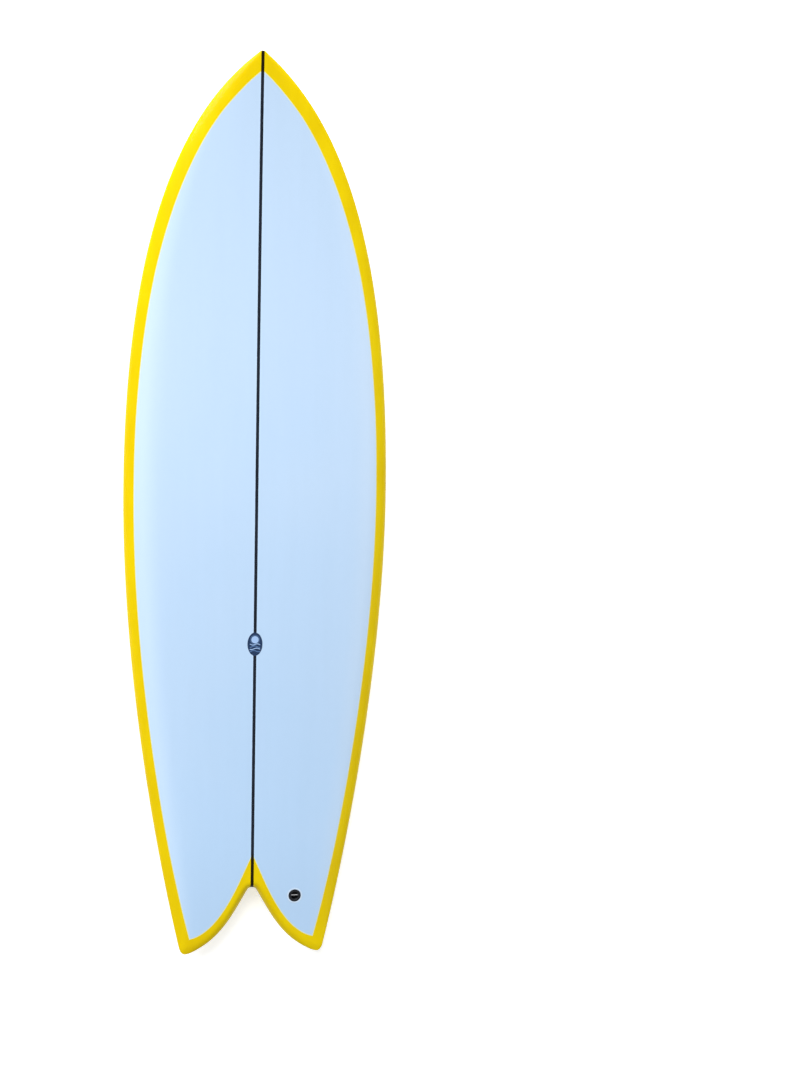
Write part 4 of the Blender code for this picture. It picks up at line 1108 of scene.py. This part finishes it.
# ------------------------------------------------------------ the shaper's pencil ticks
ticks = []
for x, y, length, lean in ((-0.0135, 0.625, 0.010, 20), (-0.0175, 0.612, 0.008, -35), (-0.0120, 0.598, 0.009, 60), (-0.0190, 0.566, 0.010, -15),
                           (-0.0140, 0.556, 0.008, 50), (-0.0220, 0.541, 0.007, 25), (-0.0150, 0.530, 0.010, -40), (-0.0200, 0.512, 0.009, 15),
                           (-0.0130, 0.502, 0.007, 70), (-0.0240, 0.491, 0.008, -20), (-0.0160, 0.480, 0.010, 35),
                           (0.0100, 0.612, 0.026, 4), (0.0085, 0.575, 0.030, -3), (0.0150, 0.545, 0.024, 12), (0.0095, 0.520, 0.022, -8),
                           (0.0170, 0.500, 0.020, 10), (0.0115, 0.480, 0.018, -5)):
    ticks.append((densify(turned_outline(stadium(length, 0.0009, 3), math.radians(lean), x, TAIL + y), 0.0025), 1))
finish_piece("pencil_ticks", to_mesh(on_bottom(ticks, Matrix.Identity(4), 0.00003, 0.0003)), PENCIL_MAT, slot="label_print")


# ------------------------------------------------------------------------------ leash plug
def turned(profile, segments):
    bm = bmesh.new()
    vs = [bm.verts.new((r, 0.0, z)) for r, z in profile]
    for a, b in zip(vs[:-1], vs[1:]):
        bm.edges.new((a, b))
    bmesh.ops.spin(bm, geom=bm.verts[:] + bm.edges[:], cent=(0, 0, 0), axis=(0, 0, 1), angle=2 * math.pi,
                   steps=segments, use_merge=True)
    bmesh.ops.remove_doubles(bm, verts=bm.verts, dist=1e-7)
    bmesh.ops.recalc_face_normals(bm, faces=bm.faces)
    return bm


def arc(cx, cz, r, a0, a1, n):
    return [(cx + r * math.cos(math.radians(a0 + (a1 - a0) * k / n)), cz + r * math.sin(math.radians(a0 + (a1 - a0) * k / n)))
            for k in range(n + 1)]


R, B = CUP[0] / 2, BOWL[0] / 2
cup_profile = ([(0.0, -BOWL[1])] + arc(B - 0.004, -BOWL[1] + 0.004, 0.004, -90, 0, 8)
               + arc(B + 0.0009, -0.0009, 0.0009, 180, 90, 6)
               + arc(R - 0.0005, -0.0005, 0.0005, 90, 0, 4) + [(R, -CUP[1]), (0.0, -CUP[1])])
cup = temp(turned(cup_profile, 72))
lying = Matrix.Translation((0, 0, -PIN[2])) @ Matrix.Rotation(math.pi / 2, 4, "Y")
hole = temp(moved(prism(circle(PIN[0] + 0.0003, 32), -PIN[1] / 2 - 0.0002, PIN[1] / 2 + 0.0002), lying))
finish_piece("plug_cup", carve(cup, [hole]), BLACK_MAT, slot="black_plastic", replaces=("leash_cup",), matrix=PLUG)
bar = turned([(0.0, PIN[1] / 2)] + arc(PIN[0] / 2 - 0.0004, PIN[1] / 2 - 0.0004, 0.0004, 90, 0, 4)
             + [(PIN[0] / 2, PIN[1] / 2 * k / 6) for k in (4, 2, 0, -2, -4)]
             + arc(PIN[0] / 2 - 0.0004, -PIN[1] / 2 + 0.0004, 0.0004, 0, -90, 4) + [(0.0, -PIN[1] / 2)], 40)
finish_piece("plug_bar", to_mesh(bar), STEEL_MAT, slot="stainless_steel", replaces=("leash_bar",), matrix=PLUG @ lying)
P = PLUG_RESIN[0] / 2
halo = turned(arc(P - 0.0003, -0.0003, 0.0003, 0, 90, 3) + [(R + 0.0002, 0.0), (R + 0.0002, -CUP[1] - 0.0002), (0.0, -CUP[1] - 0.0002),
              (0.0, -PLUG_RESIN[1]), (P, -PLUG_RESIN[1]), (P, -0.0003)], 72)
finish_piece("plug_halo", to_mesh(halo), HALO_MAT, slot="clear_resin", replaces=("leash_plug_resin",), matrix=PLUG)


# ------------------------------------------------------------------------- CAD nodes kept inside
for node in ("foam_blank_left", "foam_blank_right"):
    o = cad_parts[node]
    o.data.materials.clear()
    o.data.materials.append(FOAM_MAT)
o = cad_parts["stringer"]
o.data.materials.clear()
o.data.materials.append(LINE_MAT)


# ------------------------------------------------------------------------------ stage
def stage_material():
    m = Mat("pale_floor", rough=0.6)
    n = m.noise(3.0, 2, 0.5)
    m.colour(m.ramp(n, [(0.0, (0.90, 0.90, 0.90)), (1.0, (0.92, 0.92, 0.92))]))
    m.b.inputs["Emission Color"].default_value = (1.0, 1.0, 1.0, 1.0)
    m.b.inputs["Emission Strength"].default_value = 0.42
    return m.m


floor = bpy.data.meshes.new("floor")
floor.from_pydata([(-30, -30, -0.0002), (30, -30, -0.0002), (30, 30, -0.0002), (-30, 30, -0.0002)], [], [(0, 1, 2, 3)])
floor.materials.append(stage_material())
floor = bpy.data.objects.new("floor", floor)
bpy.context.scene.collection.objects.link(floor)


def area(name, at, look, size, power, colour=(1, 1, 1)):
    d = bpy.data.lights.new(name, "AREA")
    d.shape, d.size, d.energy, d.color = "DISK", size, power, colour
    o = bpy.data.objects.new(name, d)
    bpy.context.scene.collection.objects.link(o)
    o.location = at
    o.rotation_euler = (Vector(look) - Vector(at)).to_track_quat("-Z", "Y").to_euler()
    return o


area("key", (-2.05, 4.8, 4.15), (0, 0.0, 0), 7.4, 838, (1.0, 0.995, 0.98))
area("fill", (3.4, -0.6, 2.6), (0, 0, 0), 3.5, 16, (0.97, 0.98, 1.0))
world = bpy.data.worlds.new("studio")
bpy.context.scene.world = world
world.use_nodes = True
world.node_tree.nodes["Background"].inputs[0].default_value = (0.93, 0.96, 1.0, 1.0)
world.node_tree.nodes["Background"].inputs[1].default_value = 0.53

CAM = dict(at=(-0.06877, -0.01496, 2.6), turn=(-0.01735, -0.14043, 0.01400), focal=1303.98)
camera = bpy.data.cameras.new("camera")
camera.sensor_width = 36.0
camera.lens = CAM["focal"] / 1080.0 * 36.0
camera.clip_end = 100.0
camera_object = bpy.data.objects.new("camera", camera)
bpy.context.scene.collection.objects.link(camera_object)
rx, ry, rz = CAM["turn"]
camera_object.matrix_world = (Matrix.Translation(CAM["at"]) @ Matrix.Rotation(rz, 4, "Z") @ Matrix.Rotation(ry, 4, "Y")
                              @ Matrix.Rotation(rx, 4, "X"))
bpy.context.scene.camera = camera_object
bpy.context.scene.view_settings.view_transform = "Standard"

for spare in [m for m in bpy.data.materials if m.name.startswith("tag_") and m.users == 0]:
    bpy.data.materials.remove(spare)

bpy.context.view_layer.update()
